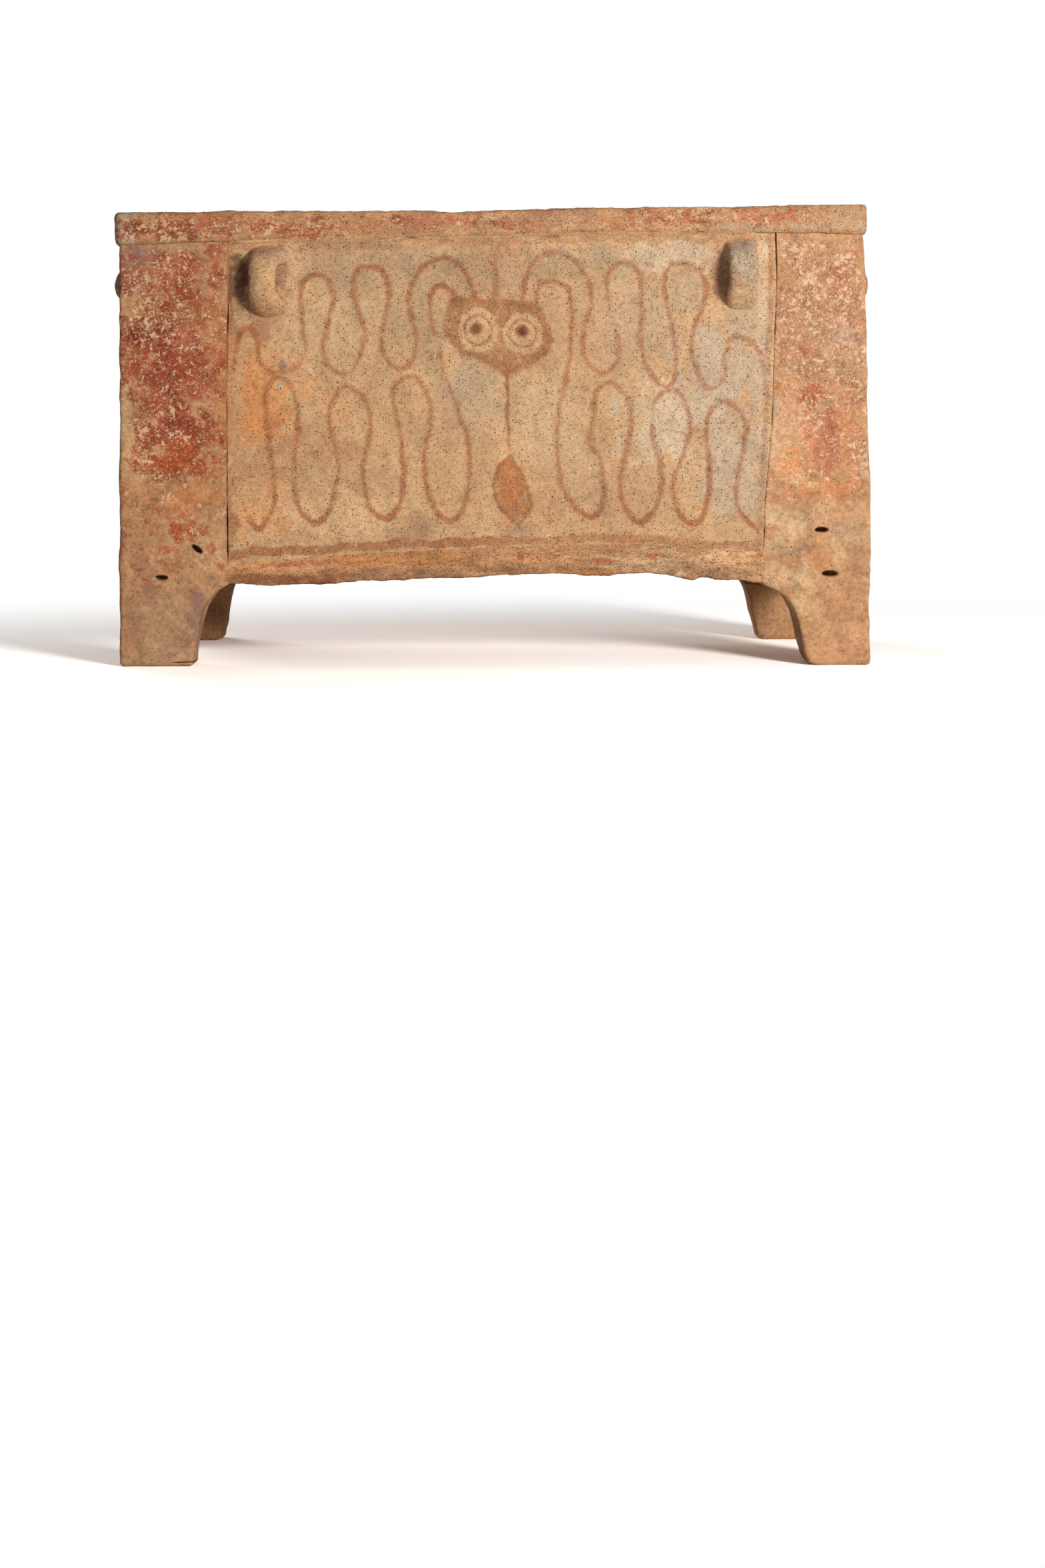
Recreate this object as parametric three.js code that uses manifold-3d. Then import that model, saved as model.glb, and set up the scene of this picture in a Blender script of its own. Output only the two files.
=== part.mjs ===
import * as THREE from 'three';
import { mergeVertices } from 'three/addons/utils/BufferGeometryUtils.js';
import Module from 'manifold-3d';

const wasm = await Module();
wasm.setup();

// A fired-clay burial chest without its lid. Four corner posts, each two thick leaves of clay at a right
// angle, run down into the legs. Thinner panels stand between them on bottom rails, a floor slab lies
// on the rails' inner ledges, a rounded rim band closes the walls at the top, and six strap handles are
// pressed onto the panels. Lengths are in millimetres. X runs along the chest, -Y is its painted front,
// +Z is up, and the origin is on the ground under the middle of the chest.

// The walls, measured over the corner posts
const bodyLength = 1068;
const bodyDepth = 464;
const wallHeight = 616;
const wallRise = 13;
const rightFootSpread = 11;
const jointGap = 0.3;
const cutOverrun = 5;

// The corner posts
const postThickness = 40;
const postCornerRadius = 8;
const cornerFilletRadius = 16;
const curveSteps = 5;

// The panels between the posts, set back from the posts' outer faces
const panelRecess = 5;
const panelThickness = 32;

// The bottom rails, and the floor slab that lies on their ledges. A rail's upper edge bows: its heights
// at the left seam, the crown and the right seam are measured from railTopHeight.
const railTopHeight = 166;
const frontRailBow = { left: -16, crown: 11, right: -2, crownShare: 0.75 };
const backRailBow = { left: -6, crown: 7, right: -9, crownShare: 0.45 };
const endRailBow = { left: -3, crown: 4, right: -3, crownShare: 0.5 };
const railBowPower = 1.5;
const railBowSteps = 20;
const railSetback = 1.5;
const railEdgeRadius = 7;
const ledgeWidth = 14;
const floorThickness = 20;
const floorDrop = 6;

// The rim band, whose top rises less than the walls do, so it is thinner at the right end
const rimHeight = 42.5;
const rimTopRise = 9;
const rimOverhang = 6.5;
const rimInnerLip = 5;
const rimCornerRadius = 12;
const rimInnerCornerRadius = 5;
const rimLowerRound = 7;
const rimUpperRound = 9;
const rimInnerRound = 12;

// The leaves of the posts. A leaf's inner edge is the seam beside the panel, and below the rail it runs
// on into the arch between two legs. Widths are measured from the corner and the knee's height from the
// ground. topSpread is how much wider the leaf is at the wall's top than at its seat beside the rail, and
// archDrop is the depth of clay over the arch, down from railTopHeight.
const frontLeftLeaf = {
  seatWidth: 153, topSpread: 2, footWidth: 110, kneeWidth: 121, kneeHeight: 75, archWidth: 155, archDrop: 48,
};
const frontRightLeaf = {
  seatWidth: 146, topSpread: -20, footWidth: 86, kneeWidth: 98, kneeHeight: 62, archWidth: 179, archDrop: 44,
};
const backLeftLeaf = {
  seatWidth: 150, topSpread: 0, footWidth: 94, kneeWidth: 106, kneeHeight: 58, archWidth: 160, archDrop: 48,
};
const backRightLeaf = {
  seatWidth: 144, topSpread: -4, footWidth: 97, kneeWidth: 109, kneeHeight: 45, archWidth: 175, archDrop: 46,
};
const endLeaf = {
  seatWidth: 104, topSpread: 0, footWidth: 90, kneeWidth: 96, kneeHeight: 60, archWidth: 146, archDrop: 48,
};

// The lower edge of each rail rises from both arches to a crown, placed as a share of the way across and
// as a depth below railTopHeight
const longCrownDrop = 35;
const frontCrownShare = 0.66;
const backCrownShare = 0.45;
const endCrownDrop = 39;
const endCrownShare = 0.5;
const archBendShare = 0.62;
const crownEaseShare = 0.4;
const archSteps = 8;

// The slots pierced through the front posts, each placed from its post's outer edge and the ground
const slots = {
  upperLeft: { length: 17, height: 8.5, inset: 108, level: 169, tilt: -0.63 },
  lowerLeft: { length: 18, height: 7, inset: 58, level: 128, tilt: 0 },
  upperRight: { length: 17.5, height: 8, inset: 64.5, level: 194.5, tilt: 0 },
  lowerRight: { length: 20, height: 8.5, inset: 54, level: 132, tilt: 0 },
};

// The strap handles. Height and reach are the loop's own, reach being measured from the panel's face,
// and drop is the distance from the rim's underside to the top of the loop.
const strapWidth = 40;
const strapThickness = 24;
const strapRootWidth = 52;
const strapRootThickness = 30;
const strapRootShare = 0.3;
const strapSquareness = 2.6;
const strapRings = 18;
const strapSides = 14;
const longHandleInset = 51;
const frontLeftHandle = { height: 101, reach: 46, drop: 10 };
const frontRightHandle = { height: 80, reach: 40, drop: 10 };
const backHandle = { height: 92, reach: 46, drop: 10 };
const leftEndHandle = { height: 78, reach: 53, drop: 5 };
const rightEndHandle = { height: 78, reach: 52.1, drop: 17 };

// Levels and depths that several pieces share
const seamTopHeight = wallHeight + wallRise + cutOverrun;
const panelBack = panelRecess + panelThickness;
const ledgeEdge = postThickness + ledgeWidth;
const floorTop = railTopHeight - floorDrop;
const floorUnderside = floorTop - floorThickness;
const rimWidth = rimOverhang + postThickness + rimInnerLip;

// Colours and roughness of the clay and its paints
const buffClay = { color: 0xcda478, roughness: 0.92 };
const wornRedClay = { color: 0xb87852, roughness: 0.9 };
const rimClay = { color: 0xb98662, roughness: 0.9 };
const roughClay = { color: 0xb58458, roughness: 0.96 };
const innerClay = { color: 0xae8259, roughness: 0.95 };

// Height of the walls' upper edge at a place along the chest
function wallTopAt(x) {
  return wallHeight + wallRise * (x / bodyLength);
}

// Height of the rim's top at a place along the chest
function rimTopAt(x) {
  return wallHeight + rimHeight + rimTopRise * (x / bodyLength);
}

// The frame of one side, seen from outside: u runs to the right along the side, v runs from the outer
// face into the chest, and z is up
function sideFrame(turn, x, y, span, { left, right, crownDrop, crownShare, railBow }) {
  const group = new THREE.Group();
  group.position.set(x, y, 0);
  group.rotation.z = turn;
  group.updateMatrix();
  const toBody = group.matrix.clone();
  const toSide = toBody.clone().invert();
  return { group, toBody, toSide, span, left, right, crownDrop, crownShare, railBow };
}

const quarterTurn = Math.PI / 2;
const frontShape = {
  left: frontLeftLeaf, right: frontRightLeaf, crownDrop: longCrownDrop, crownShare: frontCrownShare,
  railBow: frontRailBow,
};
const backShape = {
  left: backRightLeaf, right: backLeftLeaf, crownDrop: longCrownDrop, crownShare: backCrownShare,
  railBow: backRailBow,
};
const endShape = {
  left: endLeaf, right: endLeaf, crownDrop: endCrownDrop, crownShare: endCrownShare, railBow: endRailBow,
};
const sides = {
  front: sideFrame(0, 0, -bodyDepth / 2, bodyLength, frontShape),
  rightEnd: sideFrame(quarterTurn, bodyLength / 2, 0, bodyDepth, endShape),
  back: sideFrame(2 * quarterTurn, 0, bodyDepth / 2, bodyLength, backShape),
  leftEnd: sideFrame(-quarterTurn, -bodyLength / 2, 0, bodyDepth, endShape),
};

// Solids and geometries
function solidOf(geometry) {
  const bare = geometry.clone();
  bare.deleteAttribute('normal');
  bare.deleteAttribute('uv');
  const merged = mergeVertices(bare);
  return new wasm.Manifold(new wasm.Mesh({
    numProp: 3,
    vertProperties: new Float32Array(merged.attributes.position.array),
    triVerts: new Uint32Array(merged.index.array),
  }));
}

function geometryOf(solid) {
  const mesh = solid.getMesh();
  const geometry = new THREE.BufferGeometry();
  geometry.setAttribute('position', new THREE.BufferAttribute(new Float32Array(mesh.vertProperties), mesh.numProp));
  geometry.setIndex(new THREE.BufferAttribute(new Uint32Array(mesh.triVerts), 1));
  geometry.computeVertexNormals();
  return geometry;
}

function polygon(points) {
  const shape = new THREE.Shape();
  points.forEach(([x, y], index) => (index === 0 ? shape.moveTo(x, y) : shape.lineTo(x, y)));
  return shape;
}

// A plate that stands upright: its outline is drawn in u and z, and it fills the depth from near to far
function uprightPlate(shape, near, far, steps = archSteps) {
  const geometry = new THREE.ExtrudeGeometry(shape, { depth: far - near, bevelEnabled: false, curveSegments: steps });
  return geometry.rotateX(quarterTurn).translate(0, far, 0);
}

// A bar that lies along the side: its section is drawn in v and z, and it runs from one u to another
function lyingBar(section, from, to, steps) {
  const geometry = new THREE.ExtrudeGeometry(section, {
    depth: to - from, bevelEnabled: false, curveSegments: curveSteps, steps,
  });
  const alongSide = new THREE.Matrix4().makeBasis(
    new THREE.Vector3(0, 1, 0), new THREE.Vector3(0, 0, 1), new THREE.Vector3(1, 0, 0));
  return geometry.applyMatrix4(alongSide).translate(from, 0, 0);
}

// A block whose outline is drawn in plan, between two levels
function planBlock(shape, low, high) {
  const geometry = new THREE.ExtrudeGeometry(shape, {
    depth: high - low, bevelEnabled: false, curveSegments: curveSteps,
  });
  return geometry.translate(0, 0, low);
}

// A leaf's width at a height: the same up to the rail's top, then changing evenly up to the wall's top
function leafWidthAt(leaf, z) {
  const rise = Math.max(z - railTopHeight, 0) / (wallHeight - railTopHeight);
  return leaf.seatWidth + leaf.topSpread * rise;
}

const leftSeamAt = (side, z) => -side.span / 2 + leafWidthAt(side.left, z);
const rightSeamAt = (side, z) => side.span / 2 - leafWidthAt(side.right, z);

// Height of a rail's upper edge at a place along its side
function railTopAt(side, u) {
  const { left, crown, right, crownShare } = side.railBow;
  const from = leftSeamAt(side, 0);
  const to = rightSeamAt(side, 0);
  const crownAt = from + (to - from) * crownShare;
  const [endAt, endHeight] = u < crownAt ? [from, left] : [to, right];
  const wayOut = (u - crownAt) / (endAt - crownAt);
  return railTopHeight + crown - (crown - endHeight) * wayOut ** railBowPower;
}

// Everything above the walls' sloping upper edge, which the rim band rests on
function aboveWalls() {
  const end = bodyLength / 2 + cutOverrun;
  const high = seamTopHeight + cutOverrun;
  const outline = polygon([
    [-end, wallTopAt(-end) - jointGap], [end, wallTopAt(end) - jointGap], [end, high], [-end, high],
  ]);
  return uprightPlate(outline, -bodyDepth / 2 - cutOverrun, bodyDepth / 2 + cutOverrun);
}

// The opening under one side: up one leg's inner edge, round its arch, along the rail's lower edge over
// the crown, and down the other leg
function archOpening(side) {
  const { left, right, span } = side;
  const crownX = -span / 2 + span * side.crownShare;
  const leftFoot = -span / 2 + left.footWidth;
  const leftKnee = -span / 2 + left.kneeWidth;
  const leftArch = -span / 2 + left.archWidth;
  const rightFoot = span / 2 - right.footWidth;
  const rightKnee = span / 2 - right.kneeWidth;
  const rightArch = span / 2 - right.archWidth;
  const crownHeight = railTopHeight - side.crownDrop;
  const leftHeight = railTopHeight - left.archDrop;
  const rightHeight = railTopHeight - right.archDrop;
  const leftBend = (leftHeight - left.kneeHeight) * archBendShare;
  const rightBend = (rightHeight - right.kneeHeight) * archBendShare;
  const leftLean = leftBend * ((left.kneeWidth - left.footWidth) / left.kneeHeight);
  const rightLean = rightBend * ((right.kneeWidth - right.footWidth) / right.kneeHeight);
  const outline = new THREE.Shape();
  outline.moveTo(leftFoot, -cutOverrun);
  outline.lineTo(leftFoot, 0);
  outline.lineTo(leftKnee, left.kneeHeight);
  outline.bezierCurveTo(
    leftKnee + leftLean, left.kneeHeight + leftBend,
    leftArch - (leftArch - leftKnee) * archBendShare, leftHeight, leftArch, leftHeight);
  outline.bezierCurveTo(
    leftArch + (crownX - leftArch) * crownEaseShare, leftHeight,
    crownX - (crownX - leftArch) * crownEaseShare, crownHeight, crownX, crownHeight);
  outline.bezierCurveTo(
    crownX + (rightArch - crownX) * crownEaseShare, crownHeight,
    rightArch - (rightArch - crownX) * crownEaseShare, rightHeight, rightArch, rightHeight);
  outline.bezierCurveTo(
    rightArch + (rightKnee - rightArch) * archBendShare, rightHeight,
    rightKnee - rightLean, right.kneeHeight + rightBend, rightKnee, right.kneeHeight);
  outline.lineTo(rightFoot, 0);
  outline.lineTo(rightFoot, -cutOverrun);
  return uprightPlate(outline, -cutOverrun, ledgeEdge + cutOverrun);
}

// One leaf of a post, at the left or the right end of a side
function leafPlate(side, atRight) {
  const corner = side.span / 2;
  const outline = atRight
    ? polygon([
      [rightSeamAt(side, 0), 0], [corner, 0], [corner, seamTopHeight],
      [rightSeamAt(side, seamTopHeight), seamTopHeight], [rightSeamAt(side, railTopHeight), railTopHeight],
    ])
    : polygon([
      [-corner, 0], [leftSeamAt(side, 0), 0], [leftSeamAt(side, railTopHeight), railTopHeight],
      [leftSeamAt(side, seamTopHeight), seamTopHeight], [-corner, seamTopHeight],
    ]);
  return uprightPlate(outline, 0, postThickness);
}

// The walls' outline in plan, with rounded corners, as a block that trims the posts
function roundedBody() {
  const x = bodyLength / 2;
  const y = bodyDepth / 2;
  const r = postCornerRadius;
  const shape = new THREE.Shape();
  shape.moveTo(-x + r, -y);
  shape.lineTo(x - r, -y);
  shape.absarc(x - r, -y + r, r, -quarterTurn, 0);
  shape.lineTo(x, y - r);
  shape.absarc(x - r, y - r, r, 0, quarterTurn);
  shape.lineTo(-x + r, y);
  shape.absarc(-x + r, y - r, r, quarterTurn, 2 * quarterTurn);
  shape.lineTo(-x, -y + r);
  shape.absarc(-x + r, -y + r, r, 2 * quarterTurn, 3 * quarterTurn);
  return planBlock(shape, -cutOverrun, seamTopHeight + cutOverrun);
}

// The hollow strip of clay smeared into a post's inner corner above the floor, drawn for the corner at
// the lower left and turned into place
function cornerFillet(turn, x, y) {
  const r = cornerFilletRadius;
  const shape = new THREE.Shape();
  shape.moveTo(-cutOverrun, -cutOverrun);
  shape.lineTo(r, -cutOverrun);
  shape.lineTo(r, 0);
  shape.absarc(r, r, r, -quarterTurn, -2 * quarterTurn, true);
  shape.lineTo(-cutOverrun, r);
  return planBlock(shape, floorTop + jointGap, seamTopHeight).rotateZ(turn).translate(x, y, 0);
}

// The cutting bar of one slot through the front, round-ended and tilted in the wall's plane
function slotBar(slot, atRight) {
  const r = slot.height / 2;
  const reach = slot.length / 2 - r;
  const shape = new THREE.Shape();
  shape.moveTo(-reach, -r);
  shape.lineTo(reach, -r);
  shape.absarc(reach, 0, r, -quarterTurn, quarterTurn);
  shape.lineTo(-reach, r);
  shape.absarc(-reach, 0, r, quarterTurn, 3 * quarterTurn);
  const depth = postThickness + 2 * cutOverrun;
  const bar = new THREE.ExtrudeGeometry(shape, { depth, bevelEnabled: false, curveSegments: curveSteps });
  const place = sides.front.span / 2 - slot.inset;
  bar.rotateZ(slot.tilt).rotateX(quarterTurn);
  return bar.translate(atRight ? place : -place, postThickness + cutOverrun, slot.level);
}

// A post joins a side's right leaf and the next side's left leaf, and stands at their common corner
function postSolid(rightLeafSide, leftLeafSide, cornerTurn, slotBars) {
  const inBody = (geometry, side) => solidOf(geometry.applyMatrix4(side.toBody));
  const inner = new THREE.Vector3(bodyLength / 2 - postThickness, bodyDepth / 2 - postThickness, 0);
  const signX = Math.cos(cornerTurn + quarterTurn / 2) > 0 ? -1 : 1;
  const signY = Math.sin(cornerTurn + quarterTurn / 2) > 0 ? -1 : 1;
  let solid = inBody(leafPlate(rightLeafSide, true), rightLeafSide)
    .add(inBody(leafPlate(leftLeafSide, false), leftLeafSide))
    .add(solidOf(cornerFillet(cornerTurn, signX * inner.x, signY * inner.y)))
    .intersect(solidOf(roundedBody()))
    .subtract(inBody(archOpening(rightLeafSide), rightLeafSide))
    .subtract(inBody(archOpening(leftLeafSide), leftLeafSide))
    .subtract(solidOf(aboveWalls()));
  slotBars.forEach((bar) => {
    solid = solid.subtract(inBody(bar, sides.front));
  });
  const corner = new THREE.Vector3(signX * bodyLength / 2, signY * bodyDepth / 2, 0);
  return { solid, corner };
}

// A panel stands on the rail's bowed edge, between the two seams, and its top follows the rim
function panelSolid(side) {
  const from = leftSeamAt(side, 0) + jointGap;
  const to = rightSeamAt(side, 0) - jointGap;
  const high = seamTopHeight;
  const lowerEdge = Array.from({ length: railBowSteps + 1 }, (_, step) => {
    const u = from + (to - from) * (step / railBowSteps);
    return [u, railTopAt(side, u) + jointGap];
  });
  const outline = polygon([
    ...lowerEdge,
    [to, Math.max(railTopHeight, railTopAt(side, to)) + jointGap],
    [rightSeamAt(side, high) - jointGap, high], [leftSeamAt(side, high) + jointGap, high],
    [from, Math.max(railTopHeight, railTopAt(side, from)) + jointGap],
  ]);
  return solidOf(uprightPlate(outline, panelRecess, panelBack))
    .subtract(solidOf(aboveWalls().applyMatrix4(side.toSide)));
}

// A rail runs between the posts below the panel. Its inner ledge carries the floor, and its upper edge
// is bowed by lifting the section's top as it runs along.
function railSolid(side) {
  const r = railEdgeRadius;
  const section = new THREE.Shape();
  section.moveTo(railSetback, 0);
  section.lineTo(ledgeEdge, 0);
  section.lineTo(ledgeEdge, floorUnderside - jointGap);
  section.lineTo(postThickness, floorUnderside - jointGap);
  section.lineTo(postThickness, railTopHeight);
  section.lineTo(railSetback + r, railTopHeight);
  section.absarc(railSetback + r, railTopHeight - r, r, quarterTurn, 2 * quarterTurn);
  const from = leftSeamAt(side, 0) + jointGap;
  const to = rightSeamAt(side, 0) - jointGap;
  const bar = lyingBar(section, from, to, railBowSteps);
  const positions = bar.attributes.position;
  for (let index = 0; index < positions.count; index += 1) {
    const z = positions.getZ(index);
    if (z > floorUnderside) {
      positions.setZ(index, z + railTopAt(side, positions.getX(index)) - railTopHeight);
    }
  }
  return solidOf(bar).subtract(solidOf(archOpening(side)));
}

function floorGeometry() {
  const x = bodyLength / 2 - postThickness - jointGap;
  const y = bodyDepth / 2 - postThickness - jointGap;
  return planBlock(polygon([[-x, -y], [x, -y], [x, y], [-x, y]]), 0, floorThickness);
}

// The rim band's section, from its outer face inwards and from its underside up
function rimSection() {
  const shape = new THREE.Shape();
  shape.moveTo(rimLowerRound, 0);
  shape.lineTo(rimWidth, 0);
  shape.lineTo(rimWidth, rimHeight - rimInnerRound);
  shape.absarc(rimWidth - rimInnerRound, rimHeight - rimInnerRound, rimInnerRound, 0, quarterTurn);
  shape.lineTo(rimUpperRound, rimHeight);
  shape.absarc(rimUpperRound, rimHeight - rimUpperRound, rimUpperRound, quarterTurn, 2 * quarterTurn);
  shape.lineTo(0, rimLowerRound);
  shape.absarc(rimLowerRound, rimLowerRound, rimLowerRound, 2 * quarterTurn, 3 * quarterTurn);
  return mergeRepeats(shape.getPoints(curveSteps));
}

// Drops points that repeat the one before them, and a last point that repeats the first
function mergeRepeats(points) {
  const near = jointGap / 2;
  return points.filter((point, index) => point.distanceTo(points[(index + 1) % points.length]) > near);
}

// The whole rim band: the section carried round the walls' rounded outline. Its underside follows the
// walls' slope and its top follows the rim's own.
function rimRing() {
  const section = rimSection();
  const halfX = bodyLength / 2 + rimOverhang;
  const halfY = bodyDepth / 2 + rimOverhang;
  const corners = [[1, -1, -quarterTurn], [1, 1, 0], [-1, 1, quarterTurn], [-1, -1, 2 * quarterTurn]];
  const positions = [];
  corners.forEach(([signX, signY, start]) => {
    for (let step = 0; step <= curveSteps; step += 1) {
      const angle = start + quarterTurn * (step / curveSteps);
      section.forEach((point) => {
        const radius = Math.max(rimCornerRadius - point.x, rimInnerCornerRadius);
        const x = signX * (halfX - point.x - radius) + radius * Math.cos(angle);
        const y = signY * (halfY - point.x - radius) + radius * Math.sin(angle);
        const share = point.y / rimHeight;
        positions.push(x, y, wallTopAt(x) * (1 - share) + rimTopAt(x) * share);
      });
    }
  });
  const around = corners.length * (curveSteps + 1);
  const across = section.length;
  const faces = [];
  for (let ring = 0; ring < around; ring += 1) {
    for (let side = 0; side < across; side += 1) {
      const next = (ring + 1) % around;
      const beside = (side + 1) % across;
      const a = ring * across + side;
      const b = next * across + side;
      const c = next * across + beside;
      const d = ring * across + beside;
      faces.push(a, c, b, a, d, c);
    }
  }
  const geometry = new THREE.BufferGeometry();
  geometry.setAttribute('position', new THREE.Float32BufferAttribute(positions, 3));
  geometry.setIndex(faces);
  return geometry;
}

// One side's length of the rim, cut off at both corners along a mitre
function rimSolid(side) {
  const half = side.span / 2 + rimOverhang;
  const outer = -rimOverhang - cutOverrun;
  const inner = -rimOverhang + rimWidth + cutOverrun;
  const mitreShift = jointGap * Math.SQRT1_2;
  const outerHalf = half + cutOverrun - mitreShift;
  const innerHalf = half - rimWidth - cutOverrun - mitreShift;
  const wedge = polygon([[-outerHalf, outer], [outerHalf, outer], [innerHalf, inner], [-innerHalf, inner]]);
  const low = wallHeight - wallRise - cutOverrun;
  const high = wallHeight + rimHeight + rimTopRise + cutOverrun;
  return solidOf(rimRing().applyMatrix4(side.toSide)).intersect(solidOf(planBlock(wedge, low, high)));
}

// A strap handle: a rounded section carried along half an ellipse that springs from the panel's face.
// The section widens and thickens towards both roots, where the clay is smeared out.
function strapGeometry(handle) {
  const halfSpan = (handle.height - strapThickness) / 2;
  const reach = handle.reach - strapThickness / 2;
  const positions = [];
  for (let ring = 0; ring <= strapRings; ring += 1) {
    const angle = Math.PI * (ring / strapRings);
    const centre = new THREE.Vector2(-reach * Math.sin(angle), halfSpan * Math.cos(angle));
    const outward = new THREE.Vector2(-halfSpan * Math.sin(angle), reach * Math.cos(angle)).normalize();
    const rootCloseness = Math.max(1 - Math.sin(angle) / strapRootShare, 0) ** 2;
    const halfWidth = (strapWidth + (strapRootWidth - strapWidth) * rootCloseness) / 2;
    const halfThickness = (strapThickness + (strapRootThickness - strapThickness) * rootCloseness) / 2;
    for (let side = 0; side < strapSides; side += 1) {
      const turn = 2 * Math.PI * (side / strapSides);
      const across = halfWidth * roundedShare(Math.cos(turn));
      const through = halfThickness * roundedShare(Math.sin(turn));
      positions.push(across, centre.x + outward.x * through, centre.y + outward.y * through);
    }
  }
  const faces = [];
  for (let ring = 0; ring < strapRings; ring += 1) {
    for (let side = 0; side < strapSides; side += 1) {
      const beside = (side + 1) % strapSides;
      const a = ring * strapSides + side;
      const b = ring * strapSides + beside;
      const c = (ring + 1) * strapSides + beside;
      const d = (ring + 1) * strapSides + side;
      faces.push(a, b, c, a, c, d);
    }
  }
  for (let side = 1; side < strapSides - 1; side += 1) {
    const last = strapRings * strapSides;
    faces.push(0, side + 1, side, last, last + side, last + side + 1);
  }
  const geometry = new THREE.BufferGeometry();
  geometry.setAttribute('position', new THREE.Float32BufferAttribute(positions, 3));
  geometry.setIndex(faces);
  geometry.computeVertexNormals();
  return geometry;
}

// The coordinate of a section that is fuller than an ellipse
function roundedShare(value) {
  return Math.sign(value) * Math.abs(value) ** (2 / strapSquareness);
}

// Meshes
function namedMesh(name, geometry, finish) {
  const material = new THREE.MeshStandardMaterial({ ...finish, metalness: 0 });
  const mesh = new THREE.Mesh(geometry, material);
  mesh.name = name;
  return mesh;
}

function addPost(parent, name, rightLeafSide, leftLeafSide, cornerTurn, slotBars) {
  const { solid, corner } = postSolid(rightLeafSide, leftLeafSide, cornerTurn, slotBars);
  const geometry = geometryOf(solid).translate(-corner.x, -corner.y, 0);
  const mesh = namedMesh(name, geometry, wornRedClay);
  mesh.position.copy(corner);
  parent.add(mesh);
}

// A handle's root sits on the panel's face at a place along the side, hung down from the rim
function addHandle(side, name, handle, place) {
  const mesh = namedMesh(name, strapGeometry(handle), buffClay);
  const underRim = wallTopAt(new THREE.Vector3(place, 0, 0).applyMatrix4(side.toBody).x);
  mesh.position.set(place, panelRecess - jointGap, underRim - handle.drop - handle.height / 2);
  side.group.add(mesh);
}

const larnax = new THREE.Group();
Object.values(sides).forEach((side) => larnax.add(side.group));

addPost(larnax, 'front_left_post', sides.leftEnd, sides.front, 0,
  [slotBar(slots.upperLeft, false), slotBar(slots.lowerLeft, false)]);
addPost(larnax, 'front_right_post', sides.front, sides.rightEnd, quarterTurn,
  [slotBar(slots.upperRight, true), slotBar(slots.lowerRight, true)]);
addPost(larnax, 'back_right_post', sides.rightEnd, sides.back, 2 * quarterTurn, []);
addPost(larnax, 'back_left_post', sides.back, sides.leftEnd, 3 * quarterTurn, []);

const sideNames = { front: 'front', rightEnd: 'right_end', back: 'back', leftEnd: 'left_end' };
Object.entries(sideNames).forEach(([key, name]) => {
  const side = sides[key];
  side.group.add(namedMesh(`${name}_panel`, geometryOf(panelSolid(side)), buffClay));
  side.group.add(namedMesh(`${name}_rail`, geometryOf(railSolid(side)), roughClay));
  side.group.add(namedMesh(`${name}_rim`, geometryOf(rimSolid(side)), rimClay));
});

const floorSlab = namedMesh('floor_slab', floorGeometry(), innerClay);
floorSlab.position.z = floorUnderside;
larnax.add(floorSlab);

const leftPlace = (side) => leftSeamAt(side, wallHeight) + longHandleInset;
const rightPlace = (side) => rightSeamAt(side, wallHeight) - longHandleInset;
addHandle(sides.front, 'front_left_handle', frontLeftHandle, leftPlace(sides.front));
addHandle(sides.front, 'front_right_handle', frontRightHandle, rightPlace(sides.front));
addHandle(sides.back, 'back_right_handle', backHandle, leftPlace(sides.back));
addHandle(sides.back, 'back_left_handle', backHandle, rightPlace(sides.back));
addHandle(sides.leftEnd, 'left_end_handle', leftEndHandle, 0);
addHandle(sides.rightEnd, 'right_end_handle', rightEndHandle, 0);

// The right end leans: its posts, panel and rail stand further out the nearer they are to the ground.
// The lean starts beyond the seams at that end, so the long panels keep their shape.
function spreadRightEnd(root) {
  const narrowest = Math.min(leafWidthAt(frontRightLeaf, wallHeight), leafWidthAt(backRightLeaf, wallHeight));
  const start = bodyLength / 2 - narrowest;
  const place = new THREE.Vector3();
  root.updateMatrixWorld(true);
  root.traverse((mesh) => {
    if (!mesh.isMesh) return;
    const back = mesh.matrixWorld.clone().invert();
    const positions = mesh.geometry.attributes.position;
    for (let index = 0; index < positions.count; index += 1) {
      place.fromBufferAttribute(positions, index).applyMatrix4(mesh.matrixWorld);
      const outShare = THREE.MathUtils.clamp((place.x - start) / (bodyLength / 2 - start), 0, 1);
      const downShare = THREE.MathUtils.clamp(1 - place.z / wallHeight, 0, 1);
      place.x += rightFootSpread * outShare * downShare;
      place.applyMatrix4(back);
      positions.setXYZ(index, place.x, place.y, place.z);
    }
    mesh.geometry.computeVertexNormals();
  });
}

spreadRightEnd(larnax);

export default larnax;
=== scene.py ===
"""A fired-clay burial chest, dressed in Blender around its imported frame.

Every visible solid of the frame is replaced by a worked clay surface in the same place: corner posts
with their legs, walls, rails, the rim band, the strap handles and the floor. A surface is a closed skin
of rings worked out with numpy. Its paint and its stains are fields that are stored on its points, and
the shaders break them up with grain. Lengths are in metres, except the plans of paint and patches,
which are written in millimetres on the front wall: across from the middle, and up from the ground.
"""

import logging
import math
from dataclasses import dataclass, field
from enum import Enum
from typing import Callable, Sequence

import bpy
import numpy as np
from mathutils import Matrix, Vector


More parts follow.
